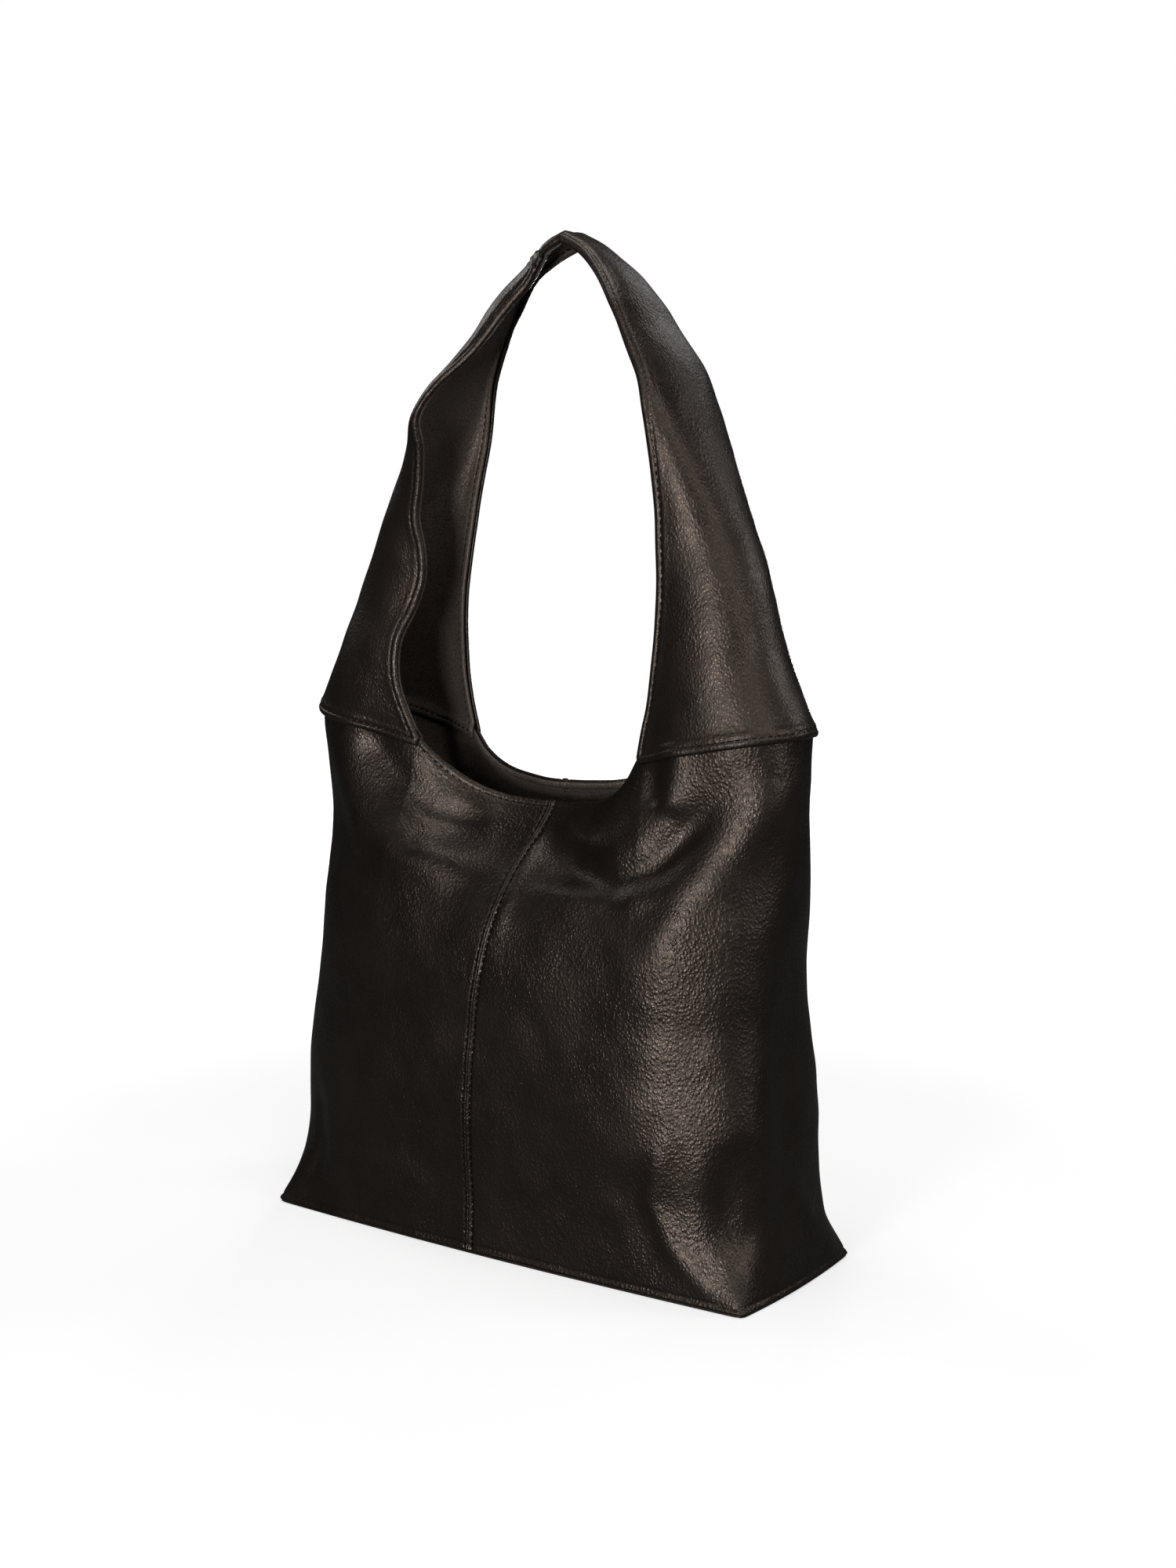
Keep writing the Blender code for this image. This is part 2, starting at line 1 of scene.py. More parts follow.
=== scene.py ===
"""Leather hobo bag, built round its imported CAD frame, with its floor, lights and camera.

Frame: metres, +Z up, front of the bag faces -Y, origin at the middle of the base on the floor.
The leather surface of the CAD is repeated here on a fine grid, given its folds and creases, and
every leather, cloth and thread is then laid on that one surface at its own depth.
"""
import math
import bpy
import numpy as np
from mathutils import Matrix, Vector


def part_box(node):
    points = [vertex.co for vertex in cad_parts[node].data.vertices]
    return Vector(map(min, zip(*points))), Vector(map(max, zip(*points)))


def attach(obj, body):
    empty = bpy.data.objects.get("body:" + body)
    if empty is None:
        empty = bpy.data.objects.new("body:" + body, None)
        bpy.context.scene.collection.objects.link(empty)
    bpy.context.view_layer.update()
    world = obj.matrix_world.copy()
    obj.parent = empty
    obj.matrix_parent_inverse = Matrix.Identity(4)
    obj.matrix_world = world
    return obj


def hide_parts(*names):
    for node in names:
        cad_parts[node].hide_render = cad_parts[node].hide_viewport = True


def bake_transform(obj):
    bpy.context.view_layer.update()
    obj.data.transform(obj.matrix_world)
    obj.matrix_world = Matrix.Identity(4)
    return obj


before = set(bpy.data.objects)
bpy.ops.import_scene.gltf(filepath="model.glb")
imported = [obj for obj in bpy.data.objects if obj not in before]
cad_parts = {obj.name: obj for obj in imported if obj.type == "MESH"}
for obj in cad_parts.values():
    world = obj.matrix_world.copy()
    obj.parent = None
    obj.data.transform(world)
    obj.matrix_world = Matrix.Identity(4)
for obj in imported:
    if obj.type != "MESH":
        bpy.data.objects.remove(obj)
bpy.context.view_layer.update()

# ---- driving dimensions (metres), the same as the CAD's ----
LEATHER = 0.0014
SKIVED = 0.0012
CLOTH = 0.0006
GAP = 0.0003
BASE_THICK = 0.0016
BODY_FOOT = 0.0024
SEAM_HEIGHT = 0.335
PANEL_REACH = 0.236         # half of a body panel's width, side to centre seam
STRAP_HALF = 0.080          # half of the strap's width where it is sewn on
SOFTEN = 0.024              # the panel rounds this far to each side of the strap's end,
SOFT_BAND, SOFT_DEPTH = 0.030, 0.03     # in a band this wide, from this height share down
SOFT_STEPS = ((-1, 0.15), (-0.5, 0.20), (0, 0.30), (0.5, 0.20), (1, 0.15))  # place and share
JUNCTION = (0.085, 0.030, 0.316)
RIM = {-1: (0.004, 0.279), 1: (0.011, 0.291)}
BASE_PLAN = (0.1840, 0.0690)
BASE_CORNER = (0.1805, 0.0640)
SECTIONS = (                # height share, half length, half depth, squareness
    (.10, .1780, .0680, 5.0),
    (.30, .1770, .0700, 3.8),
    (.50, .1720, .0705, 3.1),
    (.65, .1725, .0690, 2.7),
    (.80, .1760, .0570, 2.4),
)
STRAP = (                   # x and z of the outer line, x, y and z of the edge, bulge
    (.1795, .335, .0850, .0300, .316, .0150),
    (.1665, .362, .0910, .0295, .346, .0120),
    (.1560, .389, .0930, .0285, .376, .0090),
    (.1465, .416, .0935, .0280, .406, .0070),
    (.1355, .444, .0920, .0285, .435, .0050),
    (.1235, .471, .0900, .0300, .463, .0040),
    (.1100, .498, .0870, .0325, .489, .0030),
    (.0965, .524, .0820, .0340, .514, .0020),
    (.0825, .548, .0750, .0330, .537, .0015),
    (.0655, .570, .0620, .0290, .558, .0010),
    (.0520, .590, .0500, .0260, .577, .0),
    (.0370, .608, .0350, .0235, .595, .0),
    (.0180, .623, .0165, .0220, .612, .0),
    (.0000, .631, .0000, .0215, .621, .0),
)
TOP = len(STRAP) - 1
LEAN = (0.055, 0.007, 0.0)
QUARTER, JOIN, CORNER = 15, 8, 4    # column marks of the CAD: centre seam, strap edge, base corner

FACING_FROM = 0.80          # height share that the facing reaches down to
LAP = 0.012                 # share of the body height that the strap laps over
STRAP_LINING_AT = -0.0008   # outer face of the strap lining, from the bag surface
LINING_EASE, LINING_FLAT = 0.0018, 0.0530   # off the facing; where the cloth hangs flat, in y
STRAP_END = 11.7            # strap station where the left leather meets the right one
TAPE_FROM = 6.2             # strap station where the stay tape begins on each side
TAPE = 0.0005

STITCH_PITCH, STITCH_LONG, STITCH_RADIUS = 0.0047, 0.0034, 0.00054
STITCH_PROUD, STITCH_DIP = 0.00012, 0.0009      # the middle stands up, the ends dip into holes
EDGE_STITCH = 0.0036        # stitch rows run this far inside a turned edge
SEAM_STITCH = 0.0026        # and this far to each side of a centre seam
SEAM_DRIFT = -0.016         # the front centre seam hangs this far to the left at the base
FINE, COARSE = 0.0005, 0.0017   # grid spacing at an edge and in the middle of a panel


# ---- bag surface ----
def spline(stations, values, s):
    """Smooth curve through values at stations, evaluated at every s."""
    stations, values = np.asarray(stations, float), np.asarray(values, float)
    s = np.atleast_1d(s)
    slopes = np.gradient(values, stations, axis=0)
    i = np.clip(np.searchsorted(stations, s, side='right') - 1, 0, len(stations) - 2)
    width = (stations[i + 1] - stations[i]).reshape((-1,) + (1,) * (values.ndim - 1))
    u = (s - stations[i]).reshape(width.shape) / width
    return ((2 * u**3 - 3 * u**2 + 1) * values[i] + (u**3 - 2 * u**2 + u) * width * slopes[i]
            + (3 * u**2 - 2 * u**3) * values[i + 1] + (u**3 - u**2) * width * slopes[i + 1])


def lengths(points):
    """Distance along a polyline up to each of its points."""
    steps = np.linalg.norm(np.diff(points, axis=0), axis=-1)
    return np.concatenate([np.zeros((1,) + steps.shape[1:]), np.cumsum(steps, axis=0)])


def between(where, run, values):
    """Rows of values, read at distances along a line whose own distances are run."""
    return np.stack([np.interp(where, run, column) for column in values.T], -1)


def along(points, share):
    """Points at the given shares of a polyline's length."""
    run = lengths(points)
    return between(share * run[-1], run, points)


def smooth(x):
    """Soft step from 0 to 1."""
    x = np.clip(x, 0.0, 1.0)
    return x * x * (3 - 2 * x)


def hill(x, half_width):
    """Soft hump of height 1 at x = 0."""
    return np.exp(-(x / half_width)**2)


def graded(length, near=FINE, far=COARSE, ease=0.010):
    """Distances from 0 to length, close together at first."""
    out = [0.0]
    while out[-1] < length:
        out.append(out[-1] + near + (far - near) * min(1.0, out[-1] / ease))
    return np.array(out) * length / out[-1]


def graded_both(length):
    """Distances from 0 to length, close together at both ends."""
    half = graded(length / 2)
    return np.concatenate([half, length - half[-2::-1]])


def quarter_section(half_length, half_depth, squareness, mark):
    """Quarter of a rounded rectangle, from the side to the middle."""
    angle = np.linspace(0.0, math.pi / 2, 600)
    power = 2.0 / squareness
    x = half_length * np.cos(angle).clip(0) ** power
    y = half_depth * np.sin(angle) ** power
    return along(np.column_stack([x, y]), mark / QUARTER)


def two_part(first, second, mark, corner):
    """Two curves that meet at the corner mark."""
    low = mark <= corner
    return np.vstack([along(first, mark[low] / corner),
                      along(second, (mark[~low] - corner) / (QUARTER - corner))])


def base_quarter(mark):
    """Quarter of the base outline, with a corner in it."""
    (xc, yc), (x, y) = BASE_CORNER, BASE_PLAN
    t = np.linspace(0.0, 1.0, 100)
    end = np.column_stack([x + (xc - x) * t**2, yc * t])
    face = np.column_stack([xc * t, y + (yc - y) * t**2])[::-1]
    return two_part(end, face, mark, CORNER)


def folded_edge(station):
    """Half of a strap section from the outermost line to the edge."""
    xo, zo, xf, yf, zf, bulge = station
    turn = np.linspace(0.0, 1.0, 200)
    phi = turn * math.pi / 2
    return np.column_stack([xf + (xo - xf) * np.cos(phi),
                            yf * np.sin(phi) + bulge * np.sin(2 * phi),
                            zf + (zo - zf) * (1 - turn**2)])


def top_quarter(side, mark):
    """Quarter of the body's top edge: under the strap's end, then along the rim."""
    rim_y, rim_z = RIM[side]
    xj, yj, zj = JUNCTION
    x = np.linspace(xj, 0.0, 200)
    share = x / xj
    rim = np.column_stack([x, rim_y + (yj - rim_y) * share**2, rim_z + (zj - rim_z) * share**3])
    return two_part(folded_edge(STRAP[0]), rim, mark, JOIN)


def body_plan(shares, side, mark):
    """Outline of one quarter of the body in x and y, at each height share."""
    stations = [0.0] + [s[0] for s in SECTIONS] + [1.0]
    outlines = [base_quarter(mark)] + [quarter_section(*s[1:], mark) for s in SECTIONS]
    return spline(stations, np.array(outlines + [top_quarter(side, mark)[:, :2]]), shares)


def body_quarter(shares, side, mark):
    """Grid of one quarter of the body: rows at height shares, columns at marks from the side.
    Below the rim the leather rounds over the corner that the strap's end makes."""
    shares = np.asarray(shares)
    reach = SOFTEN * QUARTER / PANEL_REACH * hill((mark - JOIN) * STRAP_HALF / JOIN, SOFT_BAND)
    sharp = body_plan(shares, side, mark)
    soft = sum(part * body_plan(shares, side, (mark + step * reach).clip(0.0, QUARTER))
               for step, part in SOFT_STEPS)
    flat = sharp + (soft - sharp) * smooth((1 - shares) / SOFT_DEPTH)[:, None, None]
    height = BODY_FOOT + (top_quarter(side, mark)[:, 2] - BODY_FOOT) * shares[:, None]
    return np.dstack([flat, height])


def body_surface(shares, mark):
    """Right half of the body, front to back; mark runs up from the side."""
    front = body_quarter(shares, -1, mark)[:, ::-1] * (1, -1, 1)
    return np.concatenate([front, body_quarter(shares, 1, mark)[:, 1:]], axis=1)


def lean(points):
    """The standing strap leans a little to the right and back."""
    return points + np.maximum(points[..., 2:] - SEAM_HEIGHT, 0.0) * LEAN


def unit(v):
    """Vectors at length 1."""
    return v / np.linalg.norm(v, axis=-1, keepdims=True).clip(1e-12)


def outward(grid):
    """Unit normals that point out of the bag."""
    return unit(np.cross(np.gradient(grid, axis=1), np.gradient(grid, axis=0)))


def mirrored(grid, side):
    """Right side as it is; left side mirrored in x, with columns reversed to stay outward."""
    return grid if side > 0 else (grid * (-1, 1, 1))[:, ::-1]


# ---- folds and creases ----
# Each is a line of points on the bag, a half width and a height: ridges up, hollows down.
FRONT_FOLDS = (
    # left panel: deep hollow from the strap seam to the centre seam, its crease, a small roll
    # under the rim, the swag below, and a hollow above the foot
    (((-.132, -.036, .334), (-.117, -.038, .315), (-.096, -.039, .292), (-.070, -.037, .270),
      (-.024, -.025, .259)), .016, -.0066),
    (((-.117, -.042, .299), (-.096, -.044, .284), (-.073, -.046, .268), (-.056, -.038, .260)),
     .004, .0008),
    (((-.064, -.024, .283), (-.046, -.022, .276), (-.026, -.016, .271)), .008, .0012),
    (((-.158, -.030, .316), (-.140, -.041, .286), (-.116, -.050, .256), (-.076, -.055, .243),
      (-.034, -.050, .242), (-.004, -.043, .243)), .014, .0038),
    (((-.152, -.057, .085), (-.146, -.060, .045), (-.153, -.063, .015)), .008, -.0030),
    # right panel: dent and roll beside the strap edge, small roll under the rim, the long hollow
    # up to the strap seam, the corner ridge in two lengths, the swag below the hollow, a pucker
    # at the centre seam, the crease at the foot and the hollow beside it
    (((.098, -.036, .314), (.102, -.038, .286)), .009, -.0034),
    (((.117, -.036, .330), (.116, -.039, .305), (.112, -.043, .282)), .010, .0034),
    (((.014, -.015, .270), (.044, -.030, .263), (.064, -.036, .262)), .006, .0016),
    (((.007, -.022, .262), (.046, -.043, .246), (.083, -.052, .242), (.106, -.048, .253),
      (.121, -.043, .268), (.136, -.039, .286), (.154, -.034, .309)), .012, -.0060),
    (((.178, -.010, .332), (.177, -.017, .304), (.166, -.029, .281), (.150, -.040, .262),
      (.134, -.048, .240), (.122, -.055, .214), (.115, -.060, .180)), .017, .0046),
    (((.126, -.052, .225), (.118, -.058, .190), (.111, -.064, .150), (.103, -.066, .105),
      (.094, -.067, .055)), .028, .0036),
    (((.012, -.049, .234), (.053, -.054, .233), (.101, -.055, .236), (.125, -.048, .247)),
     .009, .0020),
    (((.005, -.015, .267), (.008, -.040, .244), (.007, -.056, .224), (.003, -.065, .195)),
     .006, .0018),
    (((.128, -.064, .110), (.119, -.065, .058), (.132, -.065, .032), (.155, -.063, .014),
      (.178, -.064, .003)), .008, .0021),
    (((.166, -.045, .105), (.163, -.050, .062), (.170, -.054, .026)), .014, -.0032),
    # right side: dent above the base and the fold down to the back corner
    (((.176, -.012, .150), (.176, -.011, .118), (.177, -.003, .075)), .012, -.0032),
    (((.177, -.011, .078), (.180, .022, .030), (.181, .056, .004)), .010, .0024),
)


def turned_round(fold):
    """The same fold on the opposite face of the bag."""
    line, half_width, height = fold
    return tuple((-x, -y, z) for x, y, z in line), half_width, height * TURNED_SHARE


TURNED_SHARE = 0.85         # the folds turned round on the back have this share of the height
FOLD_END, END_HEIGHT = 0.25, 0.15       # a fold fades over this share of its length, to this share
SWELLS = ((0.060, 0.00050, 1), (0.022, 0.00016, 2))     # length, height and seed
SWAY = (0.004, 0.25, 0.06)  # the slack body hangs this far to the right, at a height, over a span
SWING = 0.7                 # share of the wave that goes each way, in x and in y

# The front edge of the left strap leg waves: height, and how far it swings out
EDGE_WAVE = ((.316, .000), (.330, .003), (.353, .008), (.378, .007), (.400, -.003), (.416, -.007),
             (.432, -.006), (.455, .000), (.480, -.001), (.500, .001), (.518, .0085),
             (.537, .006), (.557, .000), (.640, .000))
TWIST_FROM = (0.490, 0.575)     # heights between which the top of the left leg twists
TWIST = ((.006, .006, -.003), (-.007, -.007, .001))     # front and back edge, x y z
PINCH = (0.575, 0.620, 0.42, 0.006)     # the top is drawn in: from and to height, share, drop
FOLDS = FRONT_FOLDS + tuple(turned_round(fold) for fold in FRONT_FOLDS)


def to_line(points, line):
    """Distance from each point to a polyline, and how far along it, as a share."""
    line = np.asarray(line, float)
    run = lengths(line)
    best = np.full(points.shape[:-1], np.inf)
    share = np.zeros_like(best)
    for a, b, start in zip(line[:-1], line[1:], run[:-1]):
        step = b - a
        reach = step @ step
        u = np.clip(((points - a) @ step) / reach, 0.0, 1.0)
        d = np.linalg.norm(points - a - u[..., None] * step, axis=-1)
        near = d < best
        best = np.where(near, d, best)
        share = np.where(near, (start + u * math.sqrt(reach)) / run[-1], share)
    return best, share


def ripple(points, length, height, seed):
    """Gentle uneven swell of the leather: a few waves in fixed random directions."""
    rng = np.random.default_rng(seed)
    out = np.zeros(points.shape[:-1])
    for _ in range(9):
        way = rng.normal(size=3)
        way *= 2 * math.pi / (length * rng.uniform(0.7, 1.6) * np.linalg.norm(way))
        out += np.sin(points @ way + rng.uniform(0, 2 * math.pi))
    return out * height / 3


def relief(points):
    """Height of the folds and creases at points of the smooth bag surface."""
    out = sum(ripple(points, *swell) for swell in SWELLS)
    for line, half_width, height in FOLDS:
        distance, share = to_line(points, line)
        taper = smooth(share / FOLD_END) * smooth((1 - share) / FOLD_END)
        out += height * hill(distance, half_width) * (END_HEIGHT + (1 - END_HEIGHT) * taper)
    return out


def slouch(grid):
    """The slack upper body hangs a little to one side, and the front centre seam runs out of line
    towards the base."""
    shift, height, span = SWAY
    x, y, z = (grid[..., i] for i in range(3))
    low = smooth((SEAM_HEIGHT - 0.05 - z) / 0.22)
    middle = np.clip(1 - (x / 0.160)**2, 0, 1)**2
    move = SEAM_DRIFT * low * middle * smooth(-y / 0.02)
    return np.dstack([x + move + shift * hill(z - height, span), y, z])


def wave(grid):
    """Swings the edges of the left strap leg out and in, and twists it near the top."""
    out = grid.copy()
    z = grid[..., 2]
    half = grid.shape[1] // 2
    heights, swings = zip(*EDGE_WAVE)
    swing = spline(heights, swings, z.ravel().clip(heights[0], heights[-1])).reshape(z.shape)
    from_side = lengths(np.swapaxes(grid, 0, 1))
    from_side = np.abs(from_side - from_side[half]).T
    share = (from_side / from_side.max(axis=1, keepdims=True))**1.5
    front = grid[:, :1, 1] < 0
    is_front = np.where(front, np.arange(grid.shape[1]) < half, np.arange(grid.shape[1]) > half)
    left = grid[..., 0] < 0
    out[..., :2] -= (SWING * swing * share * is_front * left)[..., None]
    turn = smooth((z - TWIST_FROM[0]) / (TWIST_FROM[1] - TWIST_FROM[0]))
    turn = turn * smooth(-(grid[..., 0] - 0.01) / 0.03) * share
    for edge, chosen in zip(TWIST, (is_front, ~is_front)):
        out += np.array(edge) * (turn * chosen)[..., None]
    low, high, narrow, drop = PINCH
    pinch = smooth((z - low) / (high - low))
    out[..., 1] *= 1 - narrow * pinch
    out[..., 2] -= drop * pinch * (1 - share)
    return out


def worked(grid):
    """The smooth surface with its slouch, folds and creases."""
    grid = slouch(grid)
    return grid + outward(grid) * relief(grid)[..., None]


# ---- meshes ----
def edge_first(grid, border):
    """Grid turned so that the named border is its first row."""
    if border in ("left", "right"):
        grid = np.swapaxes(grid, 0, 1)
    return grid[::-1] if border in ("top", "right") else grid


def from_edge(grid, border):
    """Distance of every grid point from a border, measured on the surface."""
    run = lengths(edge_first(grid, border))
    run = run[::-1] if border in ("top", "right") else run
    return run.T if border in ("left", "right") else run


def inset_line(grid, border, distance):
    """Line at a fixed distance inside a border, with the surface normals along it."""
    turned, normals = edge_first(grid, border), edge_first(outward(grid), border)
    run = lengths(turned)
    return [np.array([between(distance, run[:, c], values[:, c]) for c in range(run.shape[1])])
            for values in (turned, normals)]


def turned_edge(distance, rise=0.0009):
    """Extra thickness of a folded and stitched leather edge, by distance from the edge."""
    pillow = np.clip(1 - ((distance - 0.0016) / 0.0022)**2, 0, 1)**0.5
    groove = hill(distance - EDGE_STITCH, 0.0006)
    step = 1 - smooth((distance - 0.0060) / 0.003)
    return rise * pillow - 0.0006 * groove + 0.0004 * step


def turned_edges(grid, borders):
    """Turned edges on several borders: the nearest border decides."""
    return turned_edge(np.minimum.reduce([from_edge(grid, border) for border in borders]))


def shell(outer, inner, caps=4, round_edges=(1, 1, 1, 1)):
    """Closed sheet between two grids; its border bulges by round_edges on each side."""
    rows, cols = outer.shape[:2]
    count = rows * cols
    index = np.arange(count).reshape(rows, cols)
    quads = np.stack([index[:-1, :-1], index[:-1, 1:], index[1:, 1:], index[1:, :-1]], -1)
    quads = quads.reshape(-1, 4)
    away = np.zeros_like(outer)
    for border, amount in zip(("bottom", "right", "top", "left"), round_edges):
        turned, target = edge_first(outer, border), edge_first(away, border)
        target[0] += amount * unit(turned[0] - turned[1])
    loop = np.concatenate([index[0, :-1], index[:-1, -1], index[-1, :0:-1], index[:0:-1, 0]])
    top, low, out = (g.reshape(-1, 3)[loop] for g in (outer, inner, away))
    radius = np.linalg.norm(top - low, axis=1, keepdims=True) / 2
    points = [outer.reshape(-1, 3), inner.reshape(-1, 3)]
    for turn in math.pi * np.arange(1, caps) / caps:
        points.append((top + low) / 2 + (top - low) / 2 * math.cos(turn)
                      + out * radius * math.sin(turn))
    rings = [loop, *(2 * count + np.arange((caps - 1) * len(loop)).reshape(caps - 1, -1)),
             loop + count]
    faces = [quads, quads[:, ::-1] + count]
    for a, b in zip(rings[:-1], rings[1:]):
        faces.append(np.stack([np.roll(a, -1), a, b, np.roll(b, -1)], -1))
    return np.concatenate(points), np.concatenate(faces)


def layer(grid, face, thickness, extra=None, **options):
    """Sheet whose outer face lies `face` outside the grid, with extra height on that face."""
    n = outward(grid)
    extra = 0.0 if extra is None else extra[..., None]
    return shell(grid + n * (face + extra), grid + n * (face - thickness), **options)


def tube(points, radius, sides):
    """Closed round bar along a polyline."""
    ahead = unit(np.gradient(points, axis=0))
    x = unit(np.cross(ahead, (0.3, 0.2, 1.0)))[:, None]
    y = np.cross(ahead, x[:, 0])[:, None]
    turn = (np.arange(sides) * 2 * math.pi / sides)[:, None]
    radius = np.broadcast_to(radius, (len(points),))[:, None, None]
    verts = points[:, None] + (np.cos(turn) * x + np.sin(turn) * y) * radius
    last = (len(points) - 1) * sides
    i = np.arange(last).reshape(-1, sides)
    j = np.roll(i, -1, axis=1)
    quads = np.stack([i, j, j + sides, i + sides], -1).reshape(-1, 4)
    caps = np.array([(0, k + 3, k + 2, k + 1) for k in range(0, sides - 2, 2)])
    return verts.reshape(-1, 3), np.concatenate([quads, caps, caps[:, ::-1] + last])


def thread(line, ups):
    """Row of stitches along a line: each dips into its holes at both ends."""
    run = lengths(line)
    count = max(1, int(run[-1] / STITCH_PITCH))
    middles = (np.arange(count) + 0.5) * run[-1] / count
    shape = np.linspace(-1, 1, 7)
    lift = STITCH_PROUD - STITCH_DIP * shape[:, None]**4
    return join([tube(between(m + shape * STITCH_LONG / 2, run, line)
                      + unit(between(m, run, ups)) * lift, STITCH_RADIUS * (1 - 0.35 * shape**4), 6)
                 for m in middles])


def sewn(grid, borders, inset, ends, up=1, proud=0.0):
    """Rows of stitches inside the borders of a grid, each without its ends."""
    rows = []
    for border in borders:
        line, ups = inset_line(grid, border, inset)
        rows.append(thread(line[ends] + proud * ups[ends], up * ups[ends]))
    return rows


def loft(rings, closed=False):
    """Surface through rings of points; its ends are closed, or the last ring meets the first."""
    count, size = len(rings), len(rings[0])
    a = np.arange(count * size).reshape(count, size)
    b = np.roll(a, -1, axis=0)
    if not closed:
        a, b = a[:-1], b[:-1]
    faces = [np.stack([a, b, np.roll(b, -1, 1), np.roll(a, -1, 1)], -1).reshape(-1, 4)]
    if not closed:
        i = np.arange(size // 2 - 1)
        lid = np.stack([i, i + 1, size - 2 - i, size - 1 - i], -1)
        faces += [lid, lid[:, ::-1] + (count - 1) * size]
    return np.concatenate(rings), np.concatenate(faces)


def join(parts):
    """Several meshes as one."""
    points, faces, start = [], [], 0
    for verts, quads in parts:
        points.append(verts)
        faces.append(quads + start)
        start += len(verts)
    return np.concatenate(points), np.concatenate(faces)


def put(name, data):
    """New object in the scene."""
    ob = bpy.data.objects.new(name, data)
    bpy.context.scene.collection.objects.link(ob)
    return ob


def add_piece(name, part, material, slot, *nodes, bends=False):
    """Smooth piece from points and quads. It stands for CAD nodes, or is a row of stitches, and
    it rides on the bag, or runs from the bag into the strap with its place baked into its points."""
    points, quads = part
    mesh = bpy.data.meshes.new(name)
    mesh.vertices.add(len(points))
    mesh.vertices.foreach_set("co", points.astype(np.float32).ravel())
    mesh.loops.add(quads.size)
    mesh.loops.foreach_set("vertex_index", quads.astype(np.int32).ravel())
    mesh.polygons.add(len(quads))
    mesh.polygons.foreach_set("loop_start", np.arange(0, quads.size, 4, dtype=np.int32))
    mesh.polygons.foreach_set("use_smooth", np.ones(len(quads), dtype=bool))
    mesh.update(calc_edges=True)
    mesh.materials.append(MATERIALS[material])
    piece = put(name, mesh)
    if nodes:
        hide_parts(*nodes)
    if bends:
        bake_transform(piece)
    else:
        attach(piece, "bag")
    return piece


def add_cloth(name, part, material, slot, node):
    """Sheet of cloth, added as a piece."""
    piece = add_piece(name, part, material, slot, node)


def corners(node):
    """Lowest and highest corner of a CAD node."""
    return (np.array(corner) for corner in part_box(node))


# ---- materials ----
class Nodes:
    """Short hand for building a node material."""

    def __init__(self, name, **sockets):
        self.material = bpy.data.materials.new(name)
        self.material.use_nodes = True
        self.tree = self.material.node_tree
        self.shader = self.tree.nodes["Principled BSDF"]
        for socket, value in sockets.items():
            self.shader.inputs[socket.replace("_", " ")].default_value = value

    def add(self, kind, inputs=(), **settings):
        node = self.tree.nodes.new(kind)
        for key, value in settings.items():
            setattr(node, key, value)
        for key, value in dict(inputs).items():
            self.feed(node.inputs[key], value)
        return node

    def feed(self, socket, value):
        if isinstance(value, bpy.types.NodeSocket):
            self.tree.links.new(value, socket)
        else:
            socket.default_value = value

    def place(self, scale=(1, 1, 1)):
        at = self.add("ShaderNodeTexCoord").outputs["Object"]
        return self.add("ShaderNodeMapping", {"Vector": at, "Scale": scale}).outputs["Vector"]

    def vector(self, kind, a, b=(0, 0, 0), out="Vector"):
        return self.add("ShaderNodeVectorMath", {0: a, 1: b}, operation=kind).outputs[out]

    def cells(self, at, size, feature='DISTANCE_TO_EDGE'):
        return self.add("ShaderNodeTexVoronoi", {"Vector": at, "Scale": 1 / size},
                        feature=feature).outputs["Distance"]

    def noise(self, at, scale, detail=3.0, rough=0.55):
        return self.add("ShaderNodeTexNoise", {"Vector": at, "Scale": scale, "Detail": detail,
                                               "Roughness": rough}).outputs["Fac"]

    def ramp(self, value, low, high, out_low, out_high):
        return self.add("ShaderNodeMapRange",
                        {"Value": value, "From Min": low, "From Max": high, "To Min": out_low,
                         "To Max": out_high}, interpolation_type='SMOOTHSTEP').outputs["Result"]

    def mix(self, share, a, b):
        a, b = ((*c, 1) if isinstance(c, tuple) else c for c in (a, b))
        return self.add("ShaderNodeMix", {0: share, 6: a, 7: b}, data_type='RGBA').outputs[2]

    def math(self, kind, a, b=0.0):
        return self.add("ShaderNodeMath", {0: a, 1: b}, operation=kind).outputs[0]

    def times(self, a, b):
        return self.math('MULTIPLY', a, b)

    def plus(self, a, b):
        return self.math('ADD', a, b)

    def bump(self, height, distance, strength=1.0, below=None):
        inputs = {"Height": height, "Distance": distance, "Strength": strength}
        if below is not None:
            inputs["Normal"] = below
        return self.add("ShaderNodeBump", inputs).outputs["Normal"]

    def finish(self, colour=None, rough=None, normal=None):
        for socket, value in (("Base Color", colour), ("Roughness", rough), ("Normal", normal)):
            if value is not None:
                self.feed(self.shader.inputs[socket], value)
        return self.material


